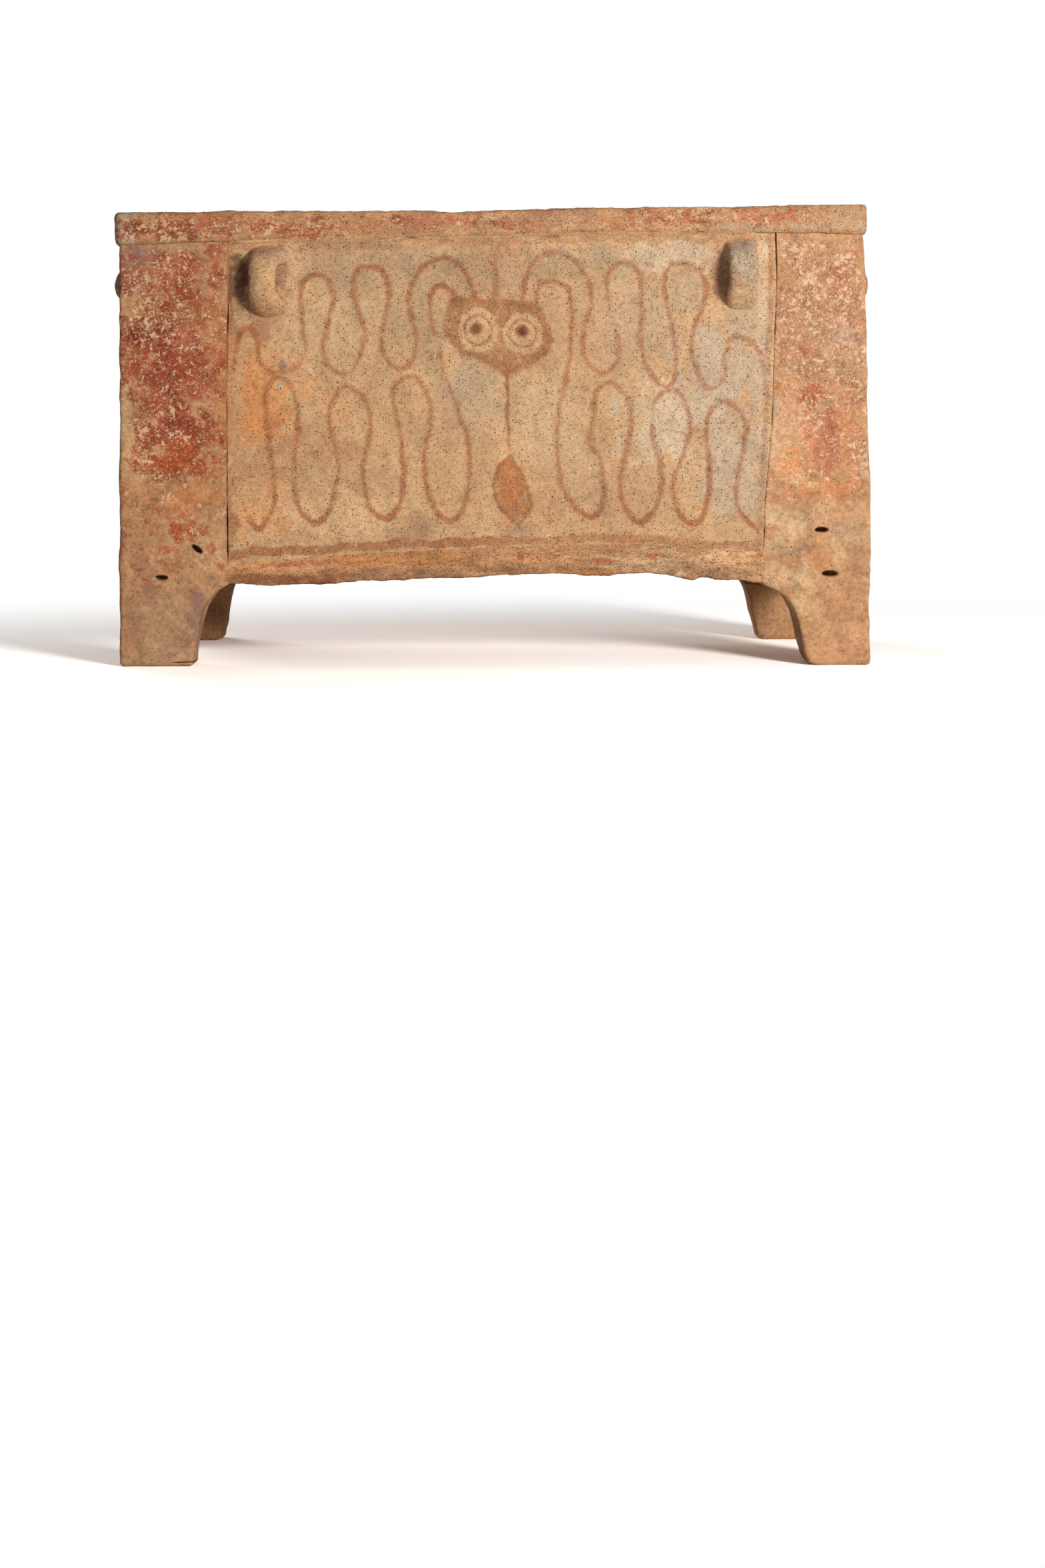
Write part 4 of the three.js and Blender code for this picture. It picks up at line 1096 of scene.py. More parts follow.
RAIL_PATCHES = (
    *_patches(
        Layer.CLAY,
        (-300, 140, 110, 18, Tint.PEACH, 0.8), (-340, 158, 50, 8, Tint.APRICOT, 0.6),
        (-285, 126, 24, 7, Tint.HAZEL, 0.95), (-190, 152, 60, 9, Tint.APRICOT), (-80, 152, 60, 14, Tint.OCHRE),
        (-120, 134, 120, 7, Tint.HAZEL, 0.8), (0, 160, 30, 8, Tint.TAN), (10, 140, 60, 9, Tint.HAZEL),
        (60, 156, 60, 12, Tint.PEACH, 0.6), (150, 144, 50, 1.6, Tint.BUFF, 0.6), (170, 134, 110, 7, Tint.OCHRE),
        (264, 144, 34, 13, Tint.TAN), (270, 131, 10, 3, Tint.CHALK), (240, 170, 40, 6, Tint.CREAM, 0.6),
        (340, 152, 50, 14, Tint.CREAM), (350, 132, 40, 8, Tint.TAN, 0.6), (-300, 124, 70, 6, Tint.RUSSET),
        (228, 150, 84, 13, Tint.BUFF, 0.6)),
    *_patches(
        Layer.COVER,
        (-335, 130, 30, 4, 0.8, 0.8), (-290, 148, 60, 5, 0.6), (-235, 136, 8, 6, 0.6), (-355, 146, 22, 6, 0.6),
        (-185, 158, 30, 4, 0.6), (-120, 160, 50, 3, 0.45), (-20, 156, 20, 4, 0.55), (100, 165, 50, 5, 0.55),
        (160, 153, 32, 4, 0.7, 0.8), (225, 158, 22, 4, 0.7, 0.8), (268, 155, 20, 4, 0.6),
        (140, 149, 34, 4, 0.5, 0.6), (370, 155, 30, 6, 0.35, 0.6), (0, 148, 380, 3, 0.4, 0.4)),
    *_patches(
        Layer.GRIME,
        (-150, 126, 280, 7, 0.9, 0.8), (20, 138, 50, 9, 0.7, 0.75), (60, 160, 30, 8, 0.5),
        (180, 142, 120, 5, 0.8, 0.8), (200, 168, 40, 8, 0.4, 0.6), (330, 132, 50, 6, 0.7), (-310, 130, 80, 8, 0.8)))

HANDLE_PATCHES = (
    *_patches(
        Layer.CLAY,
        (357, 585, 34, 36, Tint.ASH, 0.95), (-330, 560, 40, 60, Tint.SAND, 0.9), (-340, 555, 10, 14, Tint.TAN, 0.8),
        (-300, 590, 24, 16, Tint.DUN), (-330, 600, 30, 8, Tint.TAN), (-330, 516, 26, 8, Tint.FAWN),
        # Painted light: the next patch lightens the right handle's lower end, which turns down away from the light.
        (359, 524, 34, 22, Tint.BUFF, 0.95)),
    *_patches(
        Layer.GRIME,
        # Painted shade: the second patch of this line darkens and specks the left handle's shaded left side.
        (357, 585, 34, 40, 0.75, 0.95), (-352, 545, 9, 40, 0.6, 0.8)))

BUFF = (clay(213, 171, 126), clay(201, 159, 119))
COATS = {
    Kind.POST: Coat((clay(198, 150, 106), clay(190, 140, 100)), (clay(182, 106, 74), clay(168, 92, 64)),
                    cover=0.16, cover_sway=0.12, fleck=0.25, patches=LEFT_POST_PATCHES + RIGHT_POST_PATCHES),
    Kind.PAINTED: Coat(BUFF, (clay(180, 106, 66), clay(166, 94, 62)), fleck=0.25, grime=0.25,
                       patches=PANEL_PATCHES),
    Kind.WALL: Coat(BUFF, (clay(180, 106, 66), clay(166, 94, 62)), fleck=0.25, grime=0.3),
    Kind.RAIL: Coat((clay(200, 150, 106), clay(192, 142, 100)), (clay(176, 100, 68), clay(186, 112, 80)),
                    cover=0.12, cover_sway=0.14, grime=0.4, patches=RAIL_PATCHES),
    Kind.RIM: Coat((clay(194, 144, 102), clay(200, 154, 110)), (clay(180, 106, 74), clay(190, 116, 80)),
                   cover=0.22, cover_sway=0.2, grime=0.35, patches=RIM_PATCHES),
    Kind.HANDLE: Coat((clay(198, 156, 118), clay(186, 146, 112)), (clay(180, 106, 74), clay(168, 96, 66)),
                      grime=0.35, patches=HANDLE_PATCHES),
    Kind.FLOOR: Coat((clay(176, 132, 92), clay(166, 122, 84)), (clay(170, 100, 70), clay(160, 92, 64)),
                     grime=0.5),
}


# Shaders


class NodeSketch:
    """Short ways to lay and link nodes in a tree of a material or a group."""

    def __init__(self, tree: bpy.types.NodeTree) -> None:
        """Keeps the tree that nodes are added to."""
        self.tree = tree

    @classmethod
    def emptied(cls, owner: bpy.types.Material | bpy.types.World) -> "NodeSketch":
        """Sketch of a material's or a world's own tree.

        Args:
            owner: The material or the world.

        Returns:
            The sketch, with nothing in the tree yet.
        """
        owner.use_nodes = True
        owner.node_tree.nodes.clear()
        return cls(owner.node_tree)

    def node(self, kind: str, inputs: dict | None = None, **settings: object) -> bpy.types.Node:
        """Adds a node.

        Args:
            kind: The node's type name.
            inputs: Values or linked sockets by input name or number.
            settings: Properties of the node itself.

        Returns:
            The node.
        """
        made = self.tree.nodes.new(kind)
        for name, value in settings.items():
            setattr(made, name, value)
        for key, value in (inputs or {}).items():
            if isinstance(value, bpy.types.NodeSocket):
                self.tree.links.new(value, made.inputs[key])
            else:
                made.inputs[key].default_value = value
        return made

    def math(self, operation: str, *values: object) -> bpy.types.NodeSocket:
        """Result of a Math node on values or sockets."""
        return self.node("ShaderNodeMath", dict(enumerate(values)), operation=operation).outputs[0]

    def times(self, first: object, second: object) -> bpy.types.NodeSocket:
        """Product of two."""
        return self.math("MULTIPLY", first, second)

    def plus(self, first: object, second: object) -> bpy.types.NodeSocket:
        """Sum of two."""
        return self.math("ADD", first, second)

    def minus(self, first: object, second: object) -> bpy.types.NodeSocket:
        """The first less the second."""
        return self.math("SUBTRACT", first, second)

    def step(self, value: object, low: object, high: object) -> bpy.types.NodeSocket:
        """Smooth step of a value from 0 at low to 1 at high."""
        return self.node("ShaderNodeMapRange", {"Value": value, "From Min": low, "From Max": high},
                         interpolation_type="SMOOTHSTEP").outputs["Result"]

    def blend(self, share: object, first: object, second: object) -> bpy.types.NodeSocket:
        """Colour mixed from two by a share."""
        return self.node("ShaderNodeMix", {0: share, 6: first, 7: second}, data_type="RGBA").outputs[2]

    def noise(self, place: object, scale: float, detail: float, rough: float,
              twist: float = 0.0) -> bpy.types.NodeSocket:
        """Value of a noise whose features are about 1 / scale metres wide."""
        return self.node("ShaderNodeTexNoise", {"Vector": place, "Scale": scale, "Detail": detail,
                                                "Roughness": rough, "Distortion": twist}).outputs["Fac"]

    def scaled(self, colour: object, factor: object) -> bpy.types.NodeSocket:
        """Colour times a number."""
        return self.node("ShaderNodeVectorMath", {0: colour, 3: factor}, operation="SCALE").outputs[0]

    def stored(self, layer: Layer, output: str = "Fac") -> bpy.types.NodeSocket:
        """A field that is stored on the piece's points."""
        return self.node("ShaderNodeAttribute", attribute_name=layer.value).outputs[output]


@dataclass(frozen=True)
class Effect:
    """A shader effect that several finishes share, as one node group."""

    name: str
    inputs: tuple[str, ...]
    outputs: tuple[str, ...]
    lay: Callable[[NodeSketch, dict], dict]

    def group(self) -> bpy.types.NodeTree:
        """The effect's node group.

        Returns:
            The tree, made the first time it is asked for.
        """
        made = bpy.data.node_groups.get(self.name)
        if made is None:
            made = bpy.data.node_groups.new(self.name, "ShaderNodeTree")
            for way, sockets in (("INPUT", self.inputs), ("OUTPUT", self.outputs)):
                for name in sockets:
                    made.interface.new_socket(name, in_out=way, socket_type=SOCKETS.get(name, "NodeSocketFloat"))
            sketch = NodeSketch(made)
            entry = sketch.node("NodeGroupInput")
            results = self.lay(sketch, {socket.name: socket for socket in entry.outputs if socket.name})
            sketch.node("NodeGroupOutput", results)
        return made

    def on(self, sketch: NodeSketch, **values: object) -> bpy.types.Node:
        """The group's node, placed in a tree with its inputs given by name."""
        return sketch.node("ShaderNodeGroup", values, node_tree=self.group())


SOCKETS = {"Vector": "NodeSocketVector", "Color": "NodeSocketColor"}
WHITE = (1.0, 1.0, 1.0, 1.0)


def _lay_tone(sketch: NodeSketch, given: dict) -> dict:
    """Lays uneven tone.

    Args:
        sketch: The group's sketch.
        given: The group's input sockets by name.

    Returns:
        The colour times 1 plus three sizes of noise, each about its middle.
    """
    place = given["Vector"]
    total = 1.0
    for scale, detail, weight in ((34.0, 3.0, 0.9), (150.0, 3.0, 1.0), (430.0, 3.0, 0.7)):
        off = sketch.minus(sketch.noise(place, scale, detail, 0.62), 0.5)
        total = sketch.plus(total, sketch.times(sketch.times(off, weight), given["Strength"]))
    return {"Color": sketch.scaled(given["Color"], total)}


def _lay_worn(sketch: NodeSketch, given: dict) -> dict:
    """Lays worn paint.

    Args:
        sketch: The group's sketch.
        given: The group's input sockets by name.

    Returns:
        The mask, which is cover plus broad and fine noise past a soft threshold, and the holes that flecks
        knock in it.
    """
    place = given["Vector"]
    broad = sketch.minus(sketch.noise(place, 78.0, 6.0, 0.70, 0.3), 0.5)
    fine = sketch.minus(sketch.noise(place, 480.0, 4.0, 0.75), 0.5)
    broad = sketch.times(broad, sketch.times(given["Breakup"], 3.4))
    fine = sketch.times(fine, sketch.times(given["Grain"], 4.0))
    level = sketch.plus(given["Cover"], sketch.plus(broad, fine))
    mask = sketch.step(level, 0.22, 0.98)
    holes = []
    for scale, detail, start in ((128.0, 6.0, 0.640), (340.0, 4.0, 0.651)):
        low = sketch.minus(start, sketch.times(given["Fleck"], 0.100))
        holes.append(sketch.step(sketch.noise(place, scale, detail, 0.68, 0.4), low, sketch.plus(low, 0.022)))
    hole = sketch.math("MAXIMUM", *holes)
    return {"Mask": sketch.times(mask, sketch.minus(1.0, hole)), "Hole": hole}


def _lay_grit(sketch: NodeSketch, given: dict) -> dict:
    """Lays grit.

    Args:
        sketch: The group's sketch.
        given: The group's input sockets by name.

    Returns:
        Dark and pale grains: round spots at the middle of random cells of three sizes. The amount sets how
        many are dark.
    """
    place = given["Vector"]
    darks, pales = [], []
    for scale, size, most in ((230.0, 0.30, 0.42), (430.0, 0.40, 0.50), (800.0, 0.42, 0.45)):
        cells = sketch.node("ShaderNodeTexVoronoi", {"Vector": place, "Scale": scale})
        chance = sketch.node("ShaderNodeSeparateColor", {"Color": cells.outputs["Color"]})
        grain = sketch.step(cells.outputs["Distance"], size, size * 0.6)
        gate = sketch.minus(1.0, sketch.times(given["Amount"], most))
        shown = sketch.step(chance.outputs[0], gate, sketch.plus(gate, 0.12))
        darks.append(sketch.times(grain, shown))
        pales.append(sketch.times(grain, sketch.step(chance.outputs[1], 0.92, 0.98)))
    return {name: sketch.math("MAXIMUM", sketch.math("MAXIMUM", *grains[:2]), grains[2])
            for name, grains in (("Dark", darks), ("Pale", pales))}


def _lay_relief(sketch: NodeSketch, given: dict) -> dict:
    """Lays fine relief.

    Args:
        sketch: The group's sketch.
        given: The group's input sockets by name.

    Returns:
        The height for a Bump node: three sizes of noise, added up.
    """
    place = given["Vector"]
    total = 0.0
    for scale, detail, weight in ((120.0, 3.0, 1.0), (420.0, 3.0, 0.55), (1300.0, 2.0, 0.25)):
        total = sketch.plus(total, sketch.times(sketch.noise(place, scale, detail, 0.6), weight))
    return {"Height": sketch.times(total, given["Strength"])}


TONE = Effect("uneven_tone", ("Vector", "Color", "Strength"), ("Color",), _lay_tone)
WORN = Effect("worn_paint", ("Vector", "Cover", "Fleck", "Breakup", "Grain"), ("Mask", "Hole"), _lay_worn)
GRIT = Effect("grit_specks", ("Vector", "Amount"), ("Dark", "Pale"), _lay_grit)
RELIEF = Effect("clay_relief", ("Vector", "Strength"), ("Height",), _lay_relief)


@dataclass(frozen=True)
class ClayFinish:
    """A fired-clay finish: tinted ground, worn paint over it, then grit, grime with painted shade, and a fine
    relief.
    """

    kind: Kind
    tone: float = 0.9
    breakup: float = 0.9
    grain: float = 0.55
    grit: float = 0.5
    relief: float = 1.0
    roughness: float = 0.9
    pale: Colour = clay(226, 190, 148)
    speck: Colour = clay(88, 58, 42)
    dust_and_shade: Colour = clay(120, 86, 62)
    pupil: Colour = clay(86, 48, 38)
    bared: float = 0.85
    pupil_share: float = 0.85
    speck_share: float = 0.95
    pale_share: float = 0.4
    dust_and_shade_share: float = 0.22
    speck_height: float = 0.35
    bump: float = 0.55
    bump_depth: float = 0.0007
    stretch: float = 1.0
    pictured: bool = False

    def material(self) -> bpy.types.Material:
        """Builds the material.

        Returns:
            A material whose colour is the stored clay tint, uneven in tone, under the stored paint where
            its worn mask shows it, under the painted lines if the piece is pictured, under specks. The
            stretch draws tone and paint out into level streaks. The relief feeds a Bump node, and paint
            makes the surface a little less rough.
        """
        made = bpy.data.materials.new(self.kind.value)
        sketch = NodeSketch.emptied(made)
        place = sketch.node("ShaderNodeTexCoord").outputs["Object"]
        drawn_out = sketch.node("ShaderNodeVectorMath", {0: place, 1: (self.stretch, self.stretch, 1.0)},
                                operation="MULTIPLY").outputs[0]
        ground = TONE.on(sketch, Vector=drawn_out, Color=sketch.stored(Layer.CLAY, "Color"),
                         Strength=self.tone).outputs["Color"]
        cover = sketch.stored(Layer.COVER)
        worn = WORN.on(sketch, Vector=drawn_out, Cover=cover, Fleck=sketch.stored(Layer.FLECK),
                       Breakup=self.breakup, Grain=self.grain)
        paint = TONE.on(sketch, Vector=place, Color=sketch.stored(Layer.PAINT, "Color"),
                        Strength=self.tone * 1.15).outputs["Color"]
        colour = sketch.blend(worn.outputs["Mask"], ground, paint)
        lit = sketch.times(worn.outputs["Hole"], sketch.step(cover, 0.15, 0.6))
        colour = sketch.blend(sketch.times(lit, self.bared), colour, (*self.pale, 1.0))
        if self.pictured:
            for layer, tint, strength, breakup in ((Layer.FILLS, clay(158, 98, 60), 0.80, 0.36),
                                                   (Layer.LINES, clay(162, 92, 56), 0.78, 0.26)):
                drawn = WORN.on(sketch, Vector=place, Cover=sketch.stored(layer), Fleck=0.0,
                                Breakup=breakup, Grain=0.36).outputs["Mask"]
                wash = TONE.on(sketch, Vector=place, Color=(*tint, 1.0), Strength=0.9).outputs["Color"]
                colour = sketch.blend(sketch.times(drawn, strength), colour, wash)
            pupil = sketch.times(sketch.stored(Layer.PUPILS), self.pupil_share)
            colour = sketch.blend(pupil, colour, (*self.pupil, 1.0))
        grime = sketch.stored(Layer.GRIME)
        grit = GRIT.on(sketch, Vector=place, Amount=sketch.plus(grime, self.grit))
        dark = sketch.times(grit.outputs["Dark"], self.speck_share)
        colour = sketch.blend(dark, colour, (*self.speck, 1.0))
        colour = sketch.blend(sketch.times(grit.outputs["Pale"], self.pale_share), colour, (*self.pale, 1.0))
        # Grime, and the painted shade by the front handles, dull the colour towards a dark brown.
        dull = sketch.times(sketch.step(grime, 0.3, 1.0), self.dust_and_shade_share)
        colour = sketch.blend(dull, colour, (*self.dust_and_shade, 1.0))
        height = RELIEF.on(sketch, Vector=place, Strength=self.relief).outputs["Height"]
        height = sketch.minus(height, sketch.times(grit.outputs["Dark"], self.speck_height))
        bump = sketch.node("ShaderNodeBump", {"Height": height, "Strength": self.bump, "Distance": self.bump_depth})
        rough = sketch.minus(self.roughness + 0.04, sketch.times(worn.outputs["Mask"], 0.08))
        shader = sketch.node("ShaderNodeBsdfPrincipled", {
            "Base Color": colour, "Roughness": rough, "Normal": bump.outputs["Normal"],
            "Specular IOR Level": 0.25})
        sketch.node("ShaderNodeOutputMaterial", {"Surface": shader.outputs["BSDF"]})
        return made


FINISHES = (
    ClayFinish(Kind.POST, tone=1.1, breakup=0.6, grain=0.3, grit=0.25, relief=1.1),
    ClayFinish(Kind.PAINTED, tone=0.62, grit=0.42, relief=0.9, pictured=True),
    ClayFinish(Kind.WALL, tone=0.8, grit=0.35, relief=0.9),
    ClayFinish(Kind.RAIL, tone=1.2, grit=0.6, relief=1.5, breakup=1.0, stretch=0.28),
    ClayFinish(Kind.RIM, tone=1.0, grit=0.45, relief=1.2, stretch=0.7),
    ClayFinish(Kind.HANDLE, tone=0.9, grit=0.5, relief=1.1),
    ClayFinish(Kind.FLOOR, tone=1.1, grit=0.6, relief=1.4),
)


@dataclass
class Dresser:
    """Gives finished meshes their lean, coat, material and place in the frame."""

    materials: dict[Kind, bpy.types.Material] = field(init=False)

    def __post_init__(self) -> None:
        """Makes every finish's material."""
        self.materials = {finish.kind: finish.material() for finish in FINISHES}

    def dress(self, piece: bpy.types.Object, kind: Kind, nodes: Sequence[str],
              extra: Callable[[Array, Fields], Fields] | None = None) -> None:
        """Finishes one piece.

        Args:
            piece: Its object, whose mesh stands on the upright plan.
            kind: The kind that its coat and material follow.
            nodes: The CAD nodes that it stands for.
            extra: Changes or adds fields, from the leaned points and the coat's own fields.
        """
        mesh = piece.data
        upright = np.empty(len(mesh.vertices) * 3)
        mesh.vertices.foreach_get("co", upright)
        upright = upright.reshape(-1, 3)
        leaned = PLAN.leaned(upright)
        fields = COATS[kind].fields(upright, leaned)
        if extra is not None:
            fields = extra(leaned, fields)
        for layer, values in fields.items():
            if values.ndim == 2:
                tint = np.concatenate([np.clip(values, 0, 1), np.ones((len(values), 1))], axis=1)
                store = mesh.attributes.new(layer.value, "FLOAT_COLOR", "POINT")
                store.data.foreach_set("color", tint.astype(np.float32).ravel())
            else:
                store = mesh.attributes.new(layer.value, "FLOAT", "POINT")
                store.data.foreach_set("value", values.astype(np.float32))
        mesh.vertices.foreach_set("co", leaned.astype(np.float32).ravel())
        mesh.materials.append(self.materials[kind])
        mesh.update()
        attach(piece, "root")
        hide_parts(*nodes)
        LOG.info("%s: %d faces, stands for %s", piece.name, len(mesh.polygons), ", ".join(nodes))


# Pieces of the chest


def swelling(u: Array, z: Array, spot: tuple[float, float], size: tuple[float, float]) -> Array:
    """Height share of a soft mound at a spot on a wall: a bell curve with the two half widths."""
    return np.exp(-((u - spot[0]) / size[0]) ** 2 - ((z - spot[1]) / size[1]) ** 2)


@dataclass(frozen=True)
class StrapHandle:
    """A strap of clay that stands out from a wall like half an ellipse, with both roots smeared on."""

    name: str
    side: Side
    place: float
    top: float
    height: float
    reach: float
    width: float = 0.0395
    thickness: float = 0.024
    root_width: float = 0.052
    root_thickness: float = 0.029
    sunk: float = 0.004
    squareness: float = 2.6
    root_shift: float = 0.0
    root_reach: float = 0.55
    tail: float = 1.0
    root_bend: float = 1.6
    dive: float = 0.0
    droop: float = 0.0
    flare_depth: float = 0.007
    side_flare: float = 0.006
    upper_flare: float = 0.006
    lower_flare: float = 0.012
    smear: float = 0.0036

    def swell(self, u: Array, z: Array) -> Array:
        """Clay smeared onto the wall round both roots.

        Args:
            u: Places along the side.
            z: Heights.

        Returns:
            Its height over the wall there, a soft mound for each root.
        """
        high, low = self.top - self.thickness * 0.5, self.top - self.height - self.droop + self.thickness * 0.5
        size = (self.root_width * 0.55, self.root_thickness * 0.62)
        place = self.place + self.root_shift
        return self.smear * (swelling(u, z, (place, high), size) + swelling(u, z, (place, low - 0.004), size))

    def build(self) -> bpy.types.Object:
        """Makes the strap.

        Returns:
            Superellipse sections carried along half an ellipse in depth and height, whose lower half
            thins towards the wall if the tail is above one, droops down it and dives into it. They turn
            to plain ellipses towards the lower root, flare close to the wall, and the first and last
            are sunk in it.
        """
        half_span, reach = (self.height - self.thickness) / 2, self.reach - self.thickness / 2
        angle = np.linspace(-0.07, math.pi + 0.07, 96)[:, None]
        turn = np.linspace(0, 2 * math.pi, 60, endpoint=False)[None, :]
        bend = np.where(angle > math.pi / 2, self.tail, 1.0)
        depth = -reach * signed_power(np.sin(angle), bend) + self.dive * ease(0.5 * math.pi, math.pi, angle)
        rise = np.where(angle > math.pi / 2, half_span + self.droop, half_span) * np.cos(angle)
        out_v, out_z = np.gradient(rise, axis=0), -np.gradient(depth, axis=0)
        size = np.hypot(out_v, out_z)
        near_root = np.clip(1 - np.sin(angle) / self.root_reach, 0, 1.2) ** self.root_bend
        flare = np.exp(-np.maximum(reach * np.sin(angle), -0.002) / self.flare_depth)
        power = 2 / (2 + (self.squareness - 2) * ease(0.95 * math.pi, 0.55 * math.pi, angle))
        cos, sin = np.cos(turn), np.sin(turn)
        flare_out = np.where(angle < math.pi / 2, self.upper_flare, self.lower_flare)
        flare_through = np.where(sin > 0, flare_out, 0.35 * self.upper_flare)
        half_width = (self.width + (self.root_width - self.width) * near_root) / 2 + self.side_flare * flare
        half_thick = (self.thickness + (self.root_thickness - self.thickness) * near_root) / 2
        across = half_width * signed_power(cos, power)
        through = (half_thick + flare_through * flare) * signed_power(sin, power)
        v = PLAN.recess + self.sunk * near_root + depth + out_v / size * through
        z = self.top - self.height / 2 + rise + out_z / size * through
        skin = Skin(self.side.place(self.place + self.root_shift * near_root + across, v, z))
        return skin.pushed(clay_relief(skin.rings, 1.3)).piece(f"{self.name}_clay")


@dataclass(frozen=True)
class Slot:
    """A slot pierced through the front, by its middle and half sizes on the upright plan."""

    x: float
    z: float
    across: float
    up: float
    turn: float = 0.0
    flat: float = 0.0
    mouth: float = 0.0032

    def cutter(self) -> bpy.types.Object:
        """Makes the cutting body.

        Returns:
            An oval tube through the front wall whose ends flare, so that the mouth is rounded. Its
            lower half may be flattened.
        """
        depth = np.concatenate([[-0.006, -0.003], np.linspace(-0.0015, 0.006, 9), [0.012, 0.022, 0.034, 0.046]])
        flare = np.minimum(0.55 * np.exp(-np.maximum(depth, -0.002) / 0.0022), 1.0)[:, None] * self.mouth
        turn = np.linspace(0, 2 * math.pi, 44, endpoint=False)[None, :]
        a = self.across * signed_power(np.cos(turn), 0.85)
        b = self.up * np.sin(turn)
        b = np.where(b < 0, b * (1 - self.flat), b)
        a, b = a + flare * np.cos(turn), b + flare * np.sin(turn)
        cos, sin = math.cos(self.turn), math.sin(self.turn)
        rings = Side.FRONT.place(self.x + a * cos - b * sin, depth[:, None], self.z + a * sin + b * cos)
        return Skin(rings).piece("slot_cutter")


@dataclass(frozen=True)
class CornerPost:
    """Two thick leaves of clay at a right angle that run down into a leg.

    The first side meets the post at its left end and the second side at its right end.
    """

    name: str
    first: Side
    second: Side
    slots: tuple[Slot, ...] = ()
    row: float = 0.0035
    corner: float = 0.0065
    leg_round: float = 0.0075
    long_extra: float = 0.026
    end_extra: float = -0.010
    seam_round: float = 0.0017
    foot_round: float = 0.0060
    leg_fillet: float = 0.012
    fillet: float = 0.016
    arch_from: float = 0.082
    arch_to: float = 0.122
    arch_row: float = 0.0012
    steepest: float = 5.0

    def build(self) -> bpy.types.Object:
        """Makes the post.

        Returns:
            L-shaped rings stacked from the ground to the wall's top. A leaf's end follows its seam, arch
            and leg, its edge is rounded squarely to that slope, and the rounding dies out where the
            leaf is fused to the rail. The foot is drawn in a little at the ground.
        """
        levels = np.unique(np.concatenate([
            self.foot_round * (1 - np.cos(np.linspace(0, math.pi / 2, 7))),
            np.arange(self.foot_round, self.arch_from, self.row),
            np.arange(self.arch_from, self.arch_to, self.arch_row),
            np.linspace(self.arch_to, PLAN.wall_height, int((PLAN.wall_height - self.arch_to) / self.row))]))
        wide_a = LINES[self.first].left(levels) + self.first.reach()
        wide_b = self.second.reach() - LINES[self.second].right(levels)
        thick_a, thick_b = (self._thickness(side, levels) for side in (self.first, self.second))
        zero = np.zeros_like(levels)
        corners = paired((zero, zero), (wide_a, zero), (wide_a, thick_a), (thick_b, thick_a), (thick_b, wide_b),
                         (zero, wide_b))
        slope_a, slope_b = (np.minimum(np.hypot(1, np.gradient(wide, levels)), self.steepest)
                            for wide in (wide_a, wide_b))
        edge = np.where(levels > 0.14, self.seam_round * ease(0.138, 0.158, levels),
                        self.leg_round * ease(self.arch_to, 0.104, levels)) + 0.0004
        above_floor = ease(PLAN.floor_top - 0.002, PLAN.floor_top + 0.002, levels)
        inner = self.leg_fillet + (self.fillet - self.leg_fillet) * above_floor
        corner, round_a, round_b = zero + self.corner, edge * slope_a, edge * slope_b
        cuts = paired((corner, corner), (round_a, edge), (edge, round_a), (inner, inner), (round_b, edge),
                      (edge, round_b))
        lines = rounded_rings(corners, cuts, (9, 7, 5, 7, 5, 7), (42, 8, 28, 16, 8, 30))
        skin = Skin(self.first.place(lines[..., 0] - self.first.reach(), lines[..., 1], levels[:, None]))
        share = np.clip((skin.rings[..., 2] - PLAN.rail_top) / (PLAN.wall_height - PLAN.rail_top), 0, 1)
        top = np.maximum(PLAN.wall_top(skin.rings[..., 0]), RIM.underside(skin.rings)) + 0.002
        skin.rings[..., 2] += (top - PLAN.wall_height) * share
        drawn_in = quarter_fall(skin.rings[..., 2], self.foot_round)
        piece = skin.pushed(clay_relief(skin.rings) - drawn_in).piece(f"{self.name}_clay")
        return self._pierced(piece) if self.slots else piece

    def _thickness(self, side: Side, levels: Array) -> Array:
        """Thickness of one side's leaf: under the floor's ledge it is thick on long sides and thin on ends."""
        extra = self.long_extra if side in (Side.FRONT, Side.BACK) else self.end_extra
        return PLAN.leaf + extra * ease(0.108, 0.088, levels)

    def _pierced(self, piece: bpy.types.Object) -> bpy.types.Object:
        """Cuts the slots.

        Args:
            piece: The post.

        Returns:
            The same object with the cut mesh. The cutters are dropped.
        """
        cutters = [slot.cutter() for slot in self.slots]
        for cutter in cutters:
            cut = piece.modifiers.new(cutter.name, "BOOLEAN")
            cut.operation, cut.solver, cut.object = "DIFFERENCE", "EXACT", cutter
        whole = piece.evaluated_get(bpy.context.evaluated_depsgraph_get())
        uncut, piece.data = piece.data, bpy.data.meshes.new_from_object(whole)
        piece.modifiers.clear()
        bpy.data.meshes.remove(uncut)
        for cutter in cutters:
            bpy.data.meshes.remove(cutter.data)
        return piece


